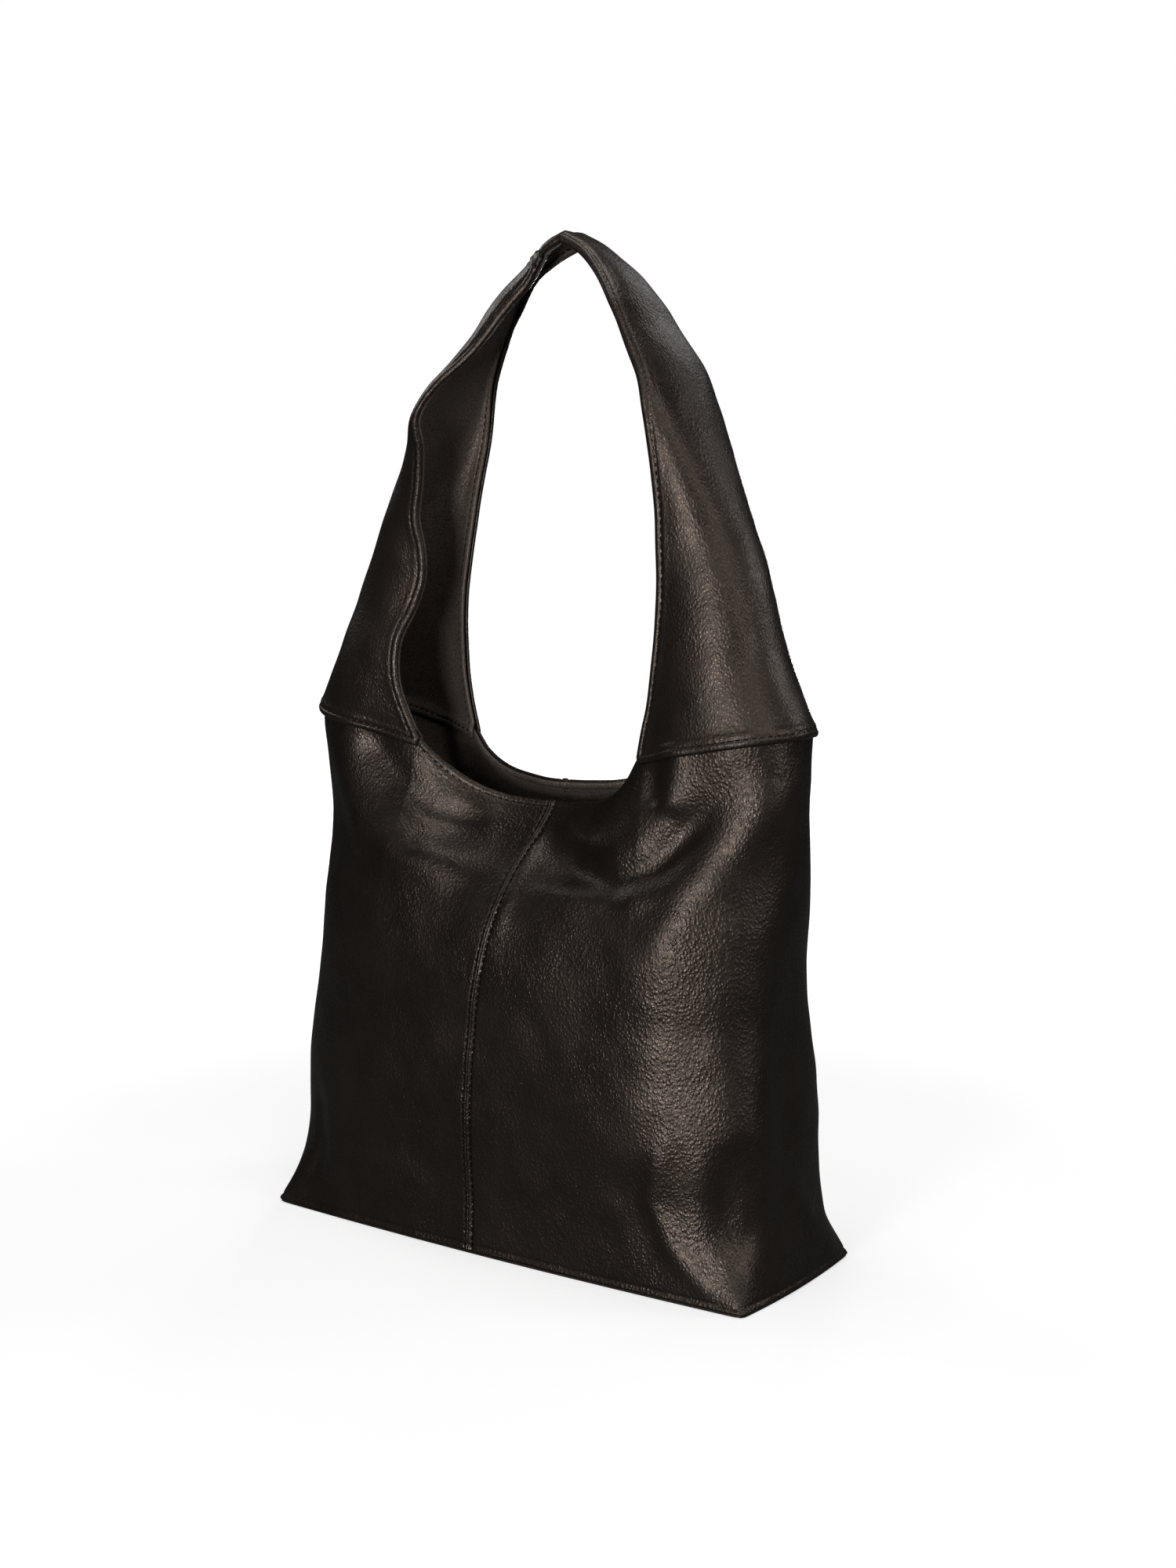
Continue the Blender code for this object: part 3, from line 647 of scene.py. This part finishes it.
def leather(name, dark, light, rough, cell, depth):
    """Pebbled leather: distorted cells with fine valleys, creases and uneven dye, and painted shade
    that darkens the valleys.
    """
    n = Nodes(name, Specular_IOR_Level=0.5, Specular_Tint=(1.0, 0.80, 0.67, 1.0))
    at = n.place((1, 1, 0.8))
    warp = n.add("ShaderNodeTexNoise", {"Vector": at, "Scale": 0.35 / cell, "Detail": 2.0})
    bent = n.vector('ADD', at, n.vector('MULTIPLY', warp.outputs["Color"], (cell * 1.3,) * 3))
    valleys, fine, domes = n.cells(bent, cell), n.cells(bent, cell / 2.1), n.cells(bent, cell, 'F1')
    amount = n.ramp(n.noise(at, 22.0, 4.0), 0.35, 0.65, 0.60, 1.0)
    height = n.plus(n.times(n.ramp(domes, 0.05, 0.72, 1.0, 0.0), amount),
                    n.times(n.ramp(fine, 0.0, 0.30, 0.0, 1.0), 0.14))
    normal = n.bump(height, depth, 1.0, n.bump(n.noise(at, 150.0, 5.0, 0.6), 0.0006, 0.12))
    colour = n.mix(n.ramp(n.noise(at, 9.0, 5.0, 0.6), 0.3, 0.7, 0.0, 1.0), dark, light)
    # painted shade: the valleys between the pebbles are coloured about three times darker than the
    # dark dye
    colour = n.mix(n.ramp(valleys, 0.0, 0.18, 0.85, 0.0), colour, tuple(c * 0.35 for c in dark))
    dull = n.plus(n.ramp(valleys, 0.0, 0.16, 0.17, 0.0), n.ramp(fine, 0.0, 0.14, 0.06, 0.0))
    worn = n.ramp(n.noise(at, 35.0, 3.0), 0.3, 0.7, rough - 0.04, rough + 0.05)
    return n.finish(colour, n.plus(worn, dull), normal)


def woven(name, dark, light, pitch, twill=False):
    """Cloth: crossing threads, or the slanting ribs of a twill, with the dye a little uneven."""
    n = Nodes(name, Specular_IOR_Level=0.25, Sheen_Weight=0.25, Sheen_Roughness=0.5)
    at = n.place()
    waves = [n.math('SINE', n.times(n.vector('DOT_PRODUCT', at, way, "Value"),
                                    2 * math.pi / pitch))
             for way in (((1, 0, 1),) if twill else ((1, 0, 0), (0, 0, 1)))]
    weave = n.plus(n.times(waves[0] if twill else n.times(*waves), 0.5), 0.5)
    cloud = n.noise(at, 40.0, 4.0)
    colour = n.mix(n.times(weave, n.ramp(cloud, 0.2, 0.8, 0.6, 1.0)), dark, light)
    normal = n.bump(weave, pitch * 0.25, 0.8, n.bump(n.noise(at, 60.0, 3.0), 0.001, 0.4))
    return n.finish(colour, n.ramp(cloud, 0.2, 0.8, 0.85, 0.95), normal)


def metal(name, dark, light, rough):
    """Cast and brushed brass: fine scratches and a little tarnish."""
    n = Nodes(name, Metallic=1.0)
    scratch, tarnish = n.noise(n.place((1, 1, 12)), 900.0, 4.0, 0.7), n.noise(n.place(), 180.0, 4.0)
    colour = n.mix(n.ramp(tarnish, 0.35, 0.7, 0.0, 1.0), light, dark)
    rough = n.ramp(scratch, 0.3, 0.7, rough - 0.06, rough + 0.10)
    return n.finish(colour, rough, n.bump(scratch, 0.00005, 0.5))


def fibrous(name, dark, light, stretch, scale, detail, rough, depth, **sockets):
    """Speckled fibres: pressed board, or waxed twisted thread."""
    n = Nodes(name, **sockets)
    fibre = n.noise(n.place(stretch), scale, *detail)
    colour = n.mix(n.ramp(fibre, 0.3, 0.7, 0.0, 1.0), dark, light)
    return n.finish(colour, n.ramp(fibre, 0.3, 0.7, *rough), n.bump(fibre, depth, 0.6))


def waxed(name, dark, light):
    """Waxed twisted thread."""
    return fibrous(name, dark, light, (1, 1, 3), 1500.0, (2.0,), (0.7, 0.85), 0.0001,
                   Specular_IOR_Level=0.15)


MATERIALS = {
    # leathers: dark and light dye, roughness, size and height of the pebbles; the inner leather's
    # dye is painted light, far paler than the outer's
    "outer": leather("outer_leather", (0.0062, 0.0050, 0.0042), (0.0095, 0.0074, 0.0060),
                     0.27, 0.0018, 0.00020),
    "strap": leather("strap_leather", (0.0070, 0.0054, 0.0045), (0.0110, 0.0084, 0.0068),
                     0.29, 0.0018, 0.00017),
    # inner leather of the facing, zip welt and strap lining: the outer leather painted about ten
    # times lighter, as painted light where little lamp light reaches
    "inner": leather("facing_leather", (0.0600, 0.0490, 0.0410), (0.0920, 0.0750, 0.0630),
                     0.38, 0.0017, 0.00014),
    "base": leather("base_leather", (0.0050, 0.0040, 0.0034), (0.0080, 0.0062, 0.0052),
                    0.42, 0.0016, 0.00012),
    "thread": waxed("thread", (0.0018, 0.0016, 0.0015), (0.004, 0.0036, 0.0033)),
    "pale_thread": waxed("pale_thread", (0.05, 0.042, 0.036), (0.10, 0.088, 0.076)),
    "coil": waxed("zip_coil", (0.018, 0.016, 0.015), (0.040, 0.036, 0.033)),
    "lining": woven("lining_cloth", (0.030, 0.024, 0.020), (0.075, 0.062, 0.052), 0.0009, True),
    "pocket": woven("pocket_cloth", (0.045, 0.036, 0.030), (0.090, 0.076, 0.062), 0.0007),
    "tape": woven("stay_tape", (0.42, 0.39, 0.35), (0.62, 0.59, 0.54), 0.0008),
    "zip_tape": woven("zip_tape", (0.012, 0.011, 0.010), (0.035, 0.031, 0.028), 0.0006),
    "brass": metal("zip_metal", (0.34, 0.24, 0.11), (0.62, 0.49, 0.28), 0.30),
    "snap": metal("snap_metal", (0.40, 0.29, 0.14), (0.68, 0.55, 0.33), 0.24),
    "board": fibrous("base_board", (0.20, 0.15, 0.10), (0.38, 0.30, 0.21), (1, 6, 1), 320.0,
                     (6.0, 0.7), (0.75, 0.95), 0.0003, Specular_IOR_Level=0.2),
}


# ---- leather body ----
MARKS = QUARTER - graded(PANEL_REACH)[::-1] * QUARTER / PANEL_REACH
PANEL_EDGES = (1, .1, 1, .1)    # a panel's foot and rim are rounded, its centre seams are not
SEAMS = ("left", "right")       # borders of a panel at the centre seams
# 1 where a column of the right panel ends in the rim, 0 where it ends under the strap
RIM_COLUMNS = smooth((np.concatenate([MARKS[::-1], MARKS[1:]]) - JOIN) / 0.35)


def seam_ridge(distance):
    """Half of a raised felled seam: a narrow ridge, and a groove beside it."""
    ridge = np.clip(1 - (distance / 0.0021)**4, 0, 1)**0.5
    return 0.0008 * ridge - 0.0006 * hill(distance - SEAM_STITCH, 0.0006) - (
        0.0003 * hill(distance, 0.0004))


def body_grid(low, high, side):
    """Worked surface of one body panel between two height shares."""
    rows = graded_both(SEAM_HEIGHT * (high - low)) / SEAM_HEIGHT + low
    return worked(mirrored(body_surface(rows, MARKS), side))


def add_body(side, word):
    """Leather panel: turned rim, half of both centre seams, a crease above the foot."""
    grid = body_grid(0.0, 1.0, side)
    foot = from_edge(grid, "bottom")
    extra = turned_edge(from_edge(grid, "top")) * RIM_COLUMNS[::side]
    for border in SEAMS:
        extra += seam_ridge(from_edge(grid, border))
    extra += 0.0005 * hill(foot, 0.0018) - 0.0004 * hill(foot - 0.0032, 0.0008)
    add_piece("body_" + word, layer(grid, 0.0, LEATHER, extra, round_edges=PANEL_EDGES), "outer",
              "outer_leather", word + "_body_panel")
    rows = sewn(grid, SEAMS, SEAM_STITCH, slice(2, -6))
    line, ups = inset_line(grid, "top", EDGE_STITCH)
    half = len(line) // 2
    for run in (slice(None, half), slice(half, None)):
        shown = RIM_COLUMNS[::side][run] > 0.9
        rows.append(thread(line[run][shown], ups[run][shown]))
    add_piece("body_stitches_" + word, join(rows), "thread", "outer_leather")


def add_facing(side, word):
    """Leather band inside the mouth, sewn to the panel at the rim."""
    grid = body_grid(FACING_FROM, 1.0, side)
    n = outward(grid)
    lip = turned_edge(from_edge(grid, "top")) * RIM_COLUMNS[::side]
    lip += 0.0005 * hill(from_edge(grid, "bottom"), 0.0016)
    for border in SEAMS:
        lip += 0.5 * seam_ridge(from_edge(grid, border))
    outer = grid - n * (LEATHER + GAP)
    inner = outer - n * (SKIVED + lip[..., None])
    add_piece("facing_" + word, shell(outer, inner, round_edges=PANEL_EDGES), "inner",
              "facing_leather", word + "_facing")


# ---- base ----
def outline(inset, count=60):
    """Base outline moved in by inset, anticlockwise from above."""
    mark = np.unique(np.concatenate([np.linspace(0, QUARTER, count), [CORNER]]))
    loop = body_surface([0.0], mark)[0, :, :2] * (1 - inset / np.array(BASE_PLAN))
    return np.vstack([loop, (loop * (-1, 1))[::-1][1:-1]])


def plate(profile):
    """Closed plate whose edge follows a profile of (inset, z), from above down to below."""
    return loft([np.insert(outline(inset), 2, z, axis=1) for inset, z in profile])


def add_base():
    """Leather bottom with a round edge, and the cloth floor above its board."""
    thick = BASE_THICK
    edge = [(0.0008 - 0.0008 * math.sin(t), thick / 2 + thick / 2 * math.cos(t))
            for t in np.linspace(0, math.pi, 9)]
    edge = [(0.012, thick), (0.004, thick), *edge, (0.004, 0.0), (0.012, 0.0)]
    add_piece("base_leather", plate(edge), "base", "base_leather", "base_panel")
    low, high = (corner[2] for corner in corners("lining_base"))
    edge = ((0.030, high), (0.008, high), (0.0050, high), (0.0045, (low + high) / 2),
            (0.0050, low), (0.030, low))
    add_cloth("lining_floor", plate(edge), "lining", "lining_cloth", "lining_base")


# ---- strap ----
EDGE_COLUMNS = graded(0.008, FINE, 0.0012, 0.006)
FREE_COLUMNS = 30           # columns between the edge columns and the middle of the strap
# rows of the strap, in stations: the first few are close together
CLOSE_ROWS, CLOSE_STEP, NEXT_ROW, ROW_STEP = 8, 0.022, 0.2, 0.085
LINING_STEP = 0.0024


def shares_across(width):
    """Column places in half a strap section, as shares of its width from the middle."""
    rest = np.linspace(EDGE_COLUMNS[-1], width, FREE_COLUMNS + 1)[1:]
    return 1 - np.concatenate([EDGE_COLUMNS, rest])[::-1] / width


def strap_rows(stations):
    """Strap sections at the stations, front edge to back edge."""
    rows = []
    for t in stations:
        half = folded_edge(spline(range(TOP + 1), STRAP, t)[0])
        half = along(half, shares_across(lengths(half)[-1]))
        rows.append(np.vstack([half[::-1] * (1, -1, 1), half[1:]]))
    return rows


def lap_rows():
    """Rows of the body surface under the strap's sewn edge."""
    mark = JOIN * shares_across(lengths(folded_edge(STRAP[0]))[-1])
    return list(body_surface(np.linspace(1 - LAP, 1.0, CLOSE_ROWS + 1)[:-1], mark))


def strap_grid(side, rows, start, end):
    """Worked strap surface: any rows of its lap on the body, then from station start to end.
    Past TOP it comes down the other side."""
    close = start + CLOSE_STEP * np.arange(CLOSE_ROWS)
    upper = np.arange(start + NEXT_ROW, TOP, ROW_STEP)
    rows = rows + strap_rows([*close, *upper, TOP])
    if end > TOP:
        over = strap_rows(np.arange(TOP - ROW_STEP, 2 * TOP - end, -ROW_STEP))
        rows += [row * (-1, 1, 1) for row in over]
    elif end < TOP:
        rows = rows[:int(len(rows) - (TOP - end) / ROW_STEP)]
    return worked(wave(lean(mirrored(np.array(rows), side))))


def strap_stitches(grid, up):
    """Rows of stitches up both edges of a strap leather and across its lower end."""
    return join(sewn(grid, ("left", "right"), EDGE_STITCH, slice(4, -2), up)
                + sewn(grid, ("bottom",), EDGE_STITCH, slice(4, -4), up))


def add_strap(side, word):
    """Strap leather and its lining, with turned edges. The lining steps in over the facing."""
    grid = strap_grid(side, lap_rows(), 0.0, STRAP_END if side < 0 else 2 * TOP - STRAP_END)
    n = outward(grid)
    extra = turned_edges(grid, ("left", "right", "bottom", "top"))
    add_piece("strap_" + word, layer(grid, GAP + LEATHER, LEATHER, extra), "strap",
              "outer_leather", word + "_strap_outer_lower", word + "_strap_outer_upper",
              bends=True)
    add_piece("strap_stitches_" + word, strap_stitches(grid + n * (GAP + LEATHER), 1), "thread",
              "outer_leather", bends=True)
    step = LINING_STEP * (1 - smooth((from_edge(grid, "bottom") - 0.004) / 0.006))
    outer = grid + n * (STRAP_LINING_AT - step)[..., None]
    extra = turned_edges(grid, ("left", "right", "bottom"))
    inner = outer - n * (SKIVED + extra)[..., None]
    add_piece("strap_lining_" + word, shell(outer, inner), "inner", "strap_lining_leather",
              word + "_strap_lining_lower", word + "_strap_lining_upper", bends=True)
    add_piece("lining_stitches_" + word, strap_stitches(inner, -1), "thread",
              "strap_lining_leather", bends=True)


def add_stay_tape():
    """Woven tape between the strap leathers, inside their turned edges."""
    grid = strap_grid(1, [], TAPE_FROM, 2 * TOP - TAPE_FROM)
    edge = len(EDGE_COLUMNS) - 2
    add_piece("stay_tape", layer(grid[:, edge:-edge], 0.0, TAPE), "tape", "stay_tape",
              "strap_stay_tape", bends=True)


# ---- lining and pockets ----
LINING_GRID = 110           # rows and columns in a quarter of the lining
LINING_SHARES = (0.02, 0.796)           # height shares of its foot and top
POCKET_ZONE = (0.097, 0.078, 0.218)     # the lining hangs smooth here: half width, low and high z
ZIP_Z, COIL_PITCH = 0.200, 0.0011
SLIP = (0.075, 0.090, 0.190, 0.009)     # slip pocket: half width, low and high edge, opening
BAG_Z = (0.085, 0.192, 0.212)           # zip pocket: bottom, front edge and back edge
BAG_CLOTH = 0.0004


def lining_half(side):
    """Lining of one half of the bag: inside the worked leather, hanging flat where it can."""
    marks = np.linspace(0, QUARTER, LINING_GRID)
    shares = np.linspace(*LINING_SHARES, LINING_GRID)
    grid = worked(mirrored(body_surface(shares, marks), side))
    grid = grid - outward(grid) * (LEATHER + LINING_EASE + CLOTH / 2)
    limit = LINING_FLAT - CLOTH / 2
    grid[..., 1] = grid[..., 1].clip(-limit, limit)
    return grid


def hang(grid, seed):
    """Soft upright folds of hanging cloth, everywhere but behind the pockets."""
    half, low, high = POCKET_ZONE
    x, z = np.abs(grid[..., 0]), grid[..., 2]
    behind = smooth((half + 0.012 - x) / 0.024) * smooth((z - low + 0.01) / 0.02) * (
        smooth((high + 0.01 - z) / 0.02))
    fold = np.abs(ripple(grid * (1, 1, 0.25), 0.050, 0.0016, seed)) + ripple(grid, 0.03, 0.0003, 9)
    fold = fold * smooth(from_edge(grid, "top") / 0.05) * smooth(from_edge(grid, "bottom") / 0.03)
    return grid - outward(grid) * (fold * (1 - behind))[..., None]


def add_lining():
    """Front and back cloth lining, each in one piece from side seam to side seam."""
    right, left = lining_half(1), lining_half(-1)
    middle = LINING_GRID - 1
    for word, sign, one, other in (("front", -1, left, right), ("back", 1, right, left)):
        grid = np.concatenate([one[:, middle:-1], other[:, :middle + 1]], axis=1)
        grid[:, (0, -1), 1] += sign * GAP
        add_cloth("lining_cloth_" + word, layer(hang(grid, 5 + sign), CLOTH / 2, CLOTH), "lining",
                  "lining_cloth", "lining_" + word)


def hem(distance, wide, rise):
    """Extra thickness of a turned hem, by distance from the edge."""
    return rise * (1 - smooth((distance - wide) / 0.0012))


def add_slip_pocket():
    """Open patch pocket on the front lining, hemmed at the mouth, stitched on three sides."""
    half, low, high, opening = SLIP
    z, x = np.meshgrid(np.linspace(low, high, 70), np.linspace(-half, half, 100), indexing="ij")
    share = (z - low) / (high - low)
    stand = opening * np.sin(math.pi / 2 * share) * np.cos(math.pi * x / 2 / half)
    stand = stand * (1 + ripple(np.dstack([x, x * 0, z * 0.3]), 0.05, 0.09, 3))
    grid = np.dstack([x, stand - (LINING_FLAT - CLOTH - GAP) + CLOTH, z])[:, ::-1]
    sides, ends = ("left", "right", "bottom"), slice(2, -2)
    seam = np.minimum.reduce([from_edge(grid, border) for border in sides])
    extra = hem(from_edge(grid, "top"), 0.010, 0.0005) + hem(seam, 0.005, 0.0003)
    add_cloth("slip_pocket_cloth", layer(grid, 0.0, CLOTH, extra), "lining", "lining_cloth",
              "slip_pocket")
    rows = (sewn(grid, sides, 0.0025, ends, proud=0.0004)
            + sewn(grid, ("top",), 0.009, ends, proud=0.0004))
    add_piece("slip_pocket_stitches", join(rows), "pale_thread", "lining_cloth")


def add_zip_pocket():
    """Flat cloth bag behind the zip: one sheet folded up at the bottom, sewn at its sides."""
    near, far = corners("zip_pocket_bag")
    half = far[0] - BAG_CLOTH
    low, front_top, back_top = BAG_Z
    middle, reach = (near[1] + far[1]) / 2, (far[1] - near[1]) / 2 - BAG_CLOTH
    turn = np.linspace(0, math.pi, 12)[1:]
    down, up = np.linspace(front_top, low + reach, 50), np.linspace(low + reach, back_top, 60)
    z = np.concatenate([down, low + reach * (1 - np.sin(turn)), up[1:]])[:, None]
    side = np.concatenate([-np.ones(50), -np.cos(turn), np.ones(59)])[:, None]
    x = np.linspace(-half, half, 90)
    open_by = reach * (1 - 0.75 * (np.abs(x) / half)**8)
    grid = np.dstack(np.broadcast_arrays(x, middle + side * open_by, z))
    grid = grid + ripple(grid * (1, 0.2, 1), 0.04, 0.0003, 8)[..., None] * (0, 1, 0)
    add_cloth("zip_pocket_cloth", layer(grid[:, ::-1], BAG_CLOTH / 2, BAG_CLOTH), "pocket",
              "pocket_cloth", "zip_pocket_bag")


def ring_path(half_x, half_z, corner, y, count=28):
    """Rounded rectangle round the zip, with equal numbers of points on each corner."""
    turn = np.linspace(0, math.pi / 2, count) + np.arange(4)[:, None] * math.pi / 2
    x = np.array(((1,), (-1,), (-1,), (1,))) * (half_x - corner) + corner * np.cos(turn)
    z = np.array(((1,), (1,), (-1,), (-1,))) * (half_z - corner) + corner * np.sin(turn)
    return np.column_stack([x.ravel(), np.full(x.size, y), ZIP_Z + z.ravel()])


# profile of the welt from its outer to its inner edge: inset, and share of the thickness
WELT = ((0.0, 0.35), (0.0004, 0.75), (0.0014, 1.0), (0.0030, 0.80), (0.0045, 0.80),
        (0.0061, 1.0), (0.0071, 0.75), (0.0075, 0.35))
WELT_STITCHES = (0.0022, 0.0053)


def add_zip_welt():
    """Leather frame round the zip: turned edges and two rows of stitches."""
    low, high = corners("zip_frame")
    half_x, half_z, back = high[0], (high[2] - low[2]) / 2, high[1]
    thick = back - low[1]
    rings = [ring_path(half_x - inset, half_z - inset, 0.004 - inset * 0.35, back - share * thick)
             for inset, share in WELT]
    rings += [ring * (1, 0, 1) + (0, back, 0) for ring in (rings[-1], rings[0])]
    add_piece("zip_welt", loft(rings, closed=True), "inner", "facing_leather", "zip_frame")
    rows = []
    for inset in WELT_STITCHES:
        line = ring_path(half_x - inset, half_z - inset, 0.003, back - 0.85 * thick)
        line = along(np.vstack([line, line[:1]]), np.linspace(0, 1, 400))
        rows.append(thread(line, np.tile((0.0, -1.0, 0.0), (400, 1))))
    add_piece("zip_welt_stitches", join(rows), "thread", "facing_leather")


def add_zip_tape(word):
    """Woven tape with a rib beside the teeth."""
    low, high = corners("zip_tape_" + word)
    x, z = np.meshgrid(np.linspace(low[0], high[0], 260), np.linspace(low[2], high[2], 24))
    grid = np.dstack([x, low[1] + 0.0002 + 0.00008 * np.sin(x * 2 * math.pi / 0.021), z])[:, ::-1]
    rib = 0.00012 * hill(np.abs(grid[..., 2] - ZIP_Z) - 0.0085, 0.0006)
    add_piece("zip_tape_cloth_" + word, layer(grid, 0.0, 0.0006, rib, caps=3), "zip_tape",
              "zip_tape", "zip_tape_" + word)


def add_zip_teeth(word, sign):
    """Coil of teeth wound round a core."""
    low, high = corners("zip_coil_" + word)
    middle, radius = (low + high) / 2, (high[2] - low[2]) / 2
    turns = int((high[0] - low[0]) / COIL_PITCH)
    turn = np.linspace(0, turns * 2 * math.pi, turns * 14)
    wire = radius * 0.30
    path = np.column_stack([np.linspace(low[0] + wire, high[0] - wire, len(turn)),
                            middle[1] + (radius - wire) * np.cos(turn),
                            middle[2] + sign * (radius - wire) * np.sin(turn)])
    core = np.linspace((low[0], *middle[1:]), (high[0], *middle[1:]), 120)
    add_piece("zip_teeth_" + word, join([tube(path, wire, 6), tube(core, wire * 1.3, 8)]), "coil",
              "zip_coil", "zip_coil_" + word)


# ---- magnetic snap ----
SNAP_AT = 0.93              # height share of the snap
# rim column, thickness, and profile from the middle of the outer face to the rim, as shares of
# the radius and the thickness
SNAPS = {
    "stud": (0, 0.0022, ((0.16, 1.00), (0.26, 0.94), (0.30, 0.62), (0.62, 0.55), (0.74, 0.62),
                         (0.86, 0.62), (0.95, 0.48), (1.0, 0.26), (0.97, 0.06), (0.88, 0.0))),
    "socket": (-1, 0.0026, ((0.14, 0.55), (0.27, 0.55), (0.31, 0.96), (0.37, 1.0), (0.66, 1.0),
                            (0.80, 0.90), (0.93, 0.66), (1.0, 0.34), (0.98, 0.08), (0.90, 0.0))),
}


def add_snap():
    """Pressed brass halves of the snap, on the facing just below the rim."""
    grid = worked(body_surface(np.array((SNAP_AT - 0.02, SNAP_AT, SNAP_AT + 0.02)), MARKS))
    turn = np.linspace(0, 2 * math.pi, 64, endpoint=False)[:, None]
    for word, (column, thick, profile) in SNAPS.items():
        low, high = corners("snap_" + word)
        n = outward(grid)[1, column]
        foot = grid[1, column] - n * (LEATHER + SKIVED + 2 * GAP + 0.0004)
        x = unit(np.cross(n, (0, 0, 1.0)))
        circle = (x * np.cos(turn) + np.cross(n, x) * np.sin(turn)) * (high[0] - low[0]) / 2
        rings = [foot - n * thick * lift + circle * share for share, lift in profile]
        add_piece("snap_" + word + "_cap", loft(rings), "snap", "snap_metal", "snap_" + word)


def finished(node, material):
    """Gives a CAD node that already has its true shape a finished material."""
    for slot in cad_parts[node].material_slots:
        slot.material = MATERIALS[material]


# ---- floor, lights and camera ----
FLOOR_SIZE = 6.0
FLOOR_GLOW = 0.56
ROOM = 0.010                # light of the room, away from the lamps
# lamps: turn from the front and height in degrees, distance, size, power
LAMPS = {
    "key_low": (11, -2, 2.2, 0.5, 27),
    "key_high": (8, 18, 2.2, 0.5, 8),
    "front_top": (50, 40, 2.2, 0.9, 9),
    "side": (80, 14, 2.2, 0.9, 9),
    "right_back": (130, 24, 2.2, 0.8, 6.5),
    "key_left": (-12, 16, 2.2, 0.5, 2.5),
    "left": (-95, 35, 2.2, 0.8, 7),
    "back_low": (205, 2, 2.2, 0.5, 18),
    "back_high": (176, 40, 2.2, 0.8, 3.5),
    "top": (0, 86, 2.1, 1.0, 16),
}
LAMPS_ROUND, LAMPS_AIM = (0, 0, 0.28), (0, 0, 0.25)
CAMERA_TURN, CAMERA_DIP = 35.0, 7.7     # degrees
CAMERA_AWAY, CAMERA_HEIGHT, CAMERA_ASIDE = 1.32, 0.468, 0.0225
CAMERA_LENS = 48.6


def floor_material():
    """Pale sweep: lit by the studio near the bag, and running out into the white backdrop."""
    n = Nodes("floor", Roughness=0.9, Specular_IOR_Level=0.0, Emission_Color=(1, 1, 1, 1))
    seen = n.add("ShaderNodeLightPath").outputs["Is Camera Ray"]
    away = n.vector('LENGTH', n.place(), out="Value")
    glow = n.times(seen, n.ramp(away, 0.35, 1.1, FLOOR_GLOW, 1.0))
    n.feed(n.shader.inputs["Emission Strength"], glow)
    return n.finish(n.mix(seen, (0.10, 0.10, 0.10), (0.55, 0.55, 0.55)))


def add_floor():
    """Square floor, which isn't part of the bag."""
    mesh = bpy.data.meshes.new("floor")
    mesh.from_pydata([(x * FLOOR_SIZE, y * FLOOR_SIZE, 0)
                      for x, y in ((-1, -1), (1, -1), (1, 1), (-1, 1))], [], [(0, 1, 2, 3)])
    mesh.materials.append(floor_material())
    put("floor", mesh)


def around(turn, up, away=1.0, middle=(0, 0, 0)):
    """Place at an azimuth from the front, an elevation and a distance from the middle."""
    a, e = math.radians(turn), math.radians(up)
    return middle + away * np.array((math.sin(a) * math.cos(e), -math.cos(a) * math.cos(e),
                                     math.sin(e)))


def look(place, ahead):
    """Matrix of a lamp or camera at a place, looking ahead."""
    right = unit(np.cross(ahead, (0, 0, 1.0)))
    m = np.eye(4)
    m[:3, :] = np.column_stack([right, np.cross(right, ahead), -ahead, place])
    return Matrix(m.tolist())


def add_lamps():
    """Soft square lamps, all aimed at the middle of the bag."""
    for name, (turn, up, away, size, power) in LAMPS.items():
        lamp = bpy.data.lights.new(name, 'AREA')
        lamp.size = size
        lamp.energy = power
        place = around(turn, up, away, LAMPS_ROUND)
        put(name, lamp).matrix_world = look(place, unit(LAMPS_AIM - place))


def add_world():
    """White behind the bag for the camera, and a dim even light for everything else."""
    world = bpy.data.worlds.new("studio")
    bpy.context.scene.world = world
    world.use_nodes = True
    tree = world.node_tree
    room, seen = tree.nodes["Background"], tree.nodes.new("ShaderNodeBackground")
    for node, strength in ((room, ROOM), (seen, 1.0)):
        node.inputs["Color"].default_value = (1, 1, 1, 1)
        node.inputs["Strength"].default_value = strength
    ray = tree.nodes.new("ShaderNodeLightPath")
    mix = tree.nodes.new("ShaderNodeMixShader")
    for k, source in enumerate((ray.outputs["Is Camera Ray"], room.outputs[0], seen.outputs[0])):
        tree.links.new(source, mix.inputs[k])
    tree.links.new(mix.outputs[0], tree.nodes["World Output"].inputs[0])


def add_camera():
    """Camera in front and to the right, a little above the mouth."""
    ahead = -around(CAMERA_TURN, CAMERA_DIP)
    place = around(CAMERA_TURN, 0.0, CAMERA_AWAY, (0, 0, CAMERA_HEIGHT))
    data = bpy.data.cameras.new("camera")
    data.lens = CAMERA_LENS
    data.sensor_width = 36.0
    data.clip_end = 50.0
    camera = put("camera", data)
    camera.matrix_world = look(place + CAMERA_ASIDE * unit(np.cross(ahead, (0, 0, 1.0))), ahead)
    bpy.context.scene.camera = camera


# ---- assembly ----
for SIDE, WORD in ((-1, "left"), (1, "right")):
    add_body(SIDE, WORD)
    add_facing(SIDE, WORD)
    add_strap(SIDE, WORD)
add_stay_tape()
add_base()
add_lining()
add_slip_pocket()
add_zip_pocket()
add_zip_welt()
for WORD, SIGN in (("upper", 1), ("lower", -1)):
    add_zip_tape(WORD)
    add_zip_teeth(WORD, SIGN)
add_snap()
finished("base_board", "board")
for NODE in ("zip_stop_left", "zip_stop_right", "zip_slider", "zip_puller"):
    finished(NODE, "brass")
add_floor()
add_world()
add_lamps()
add_camera()
bpy.context.scene.view_settings.view_transform = 'Standard'
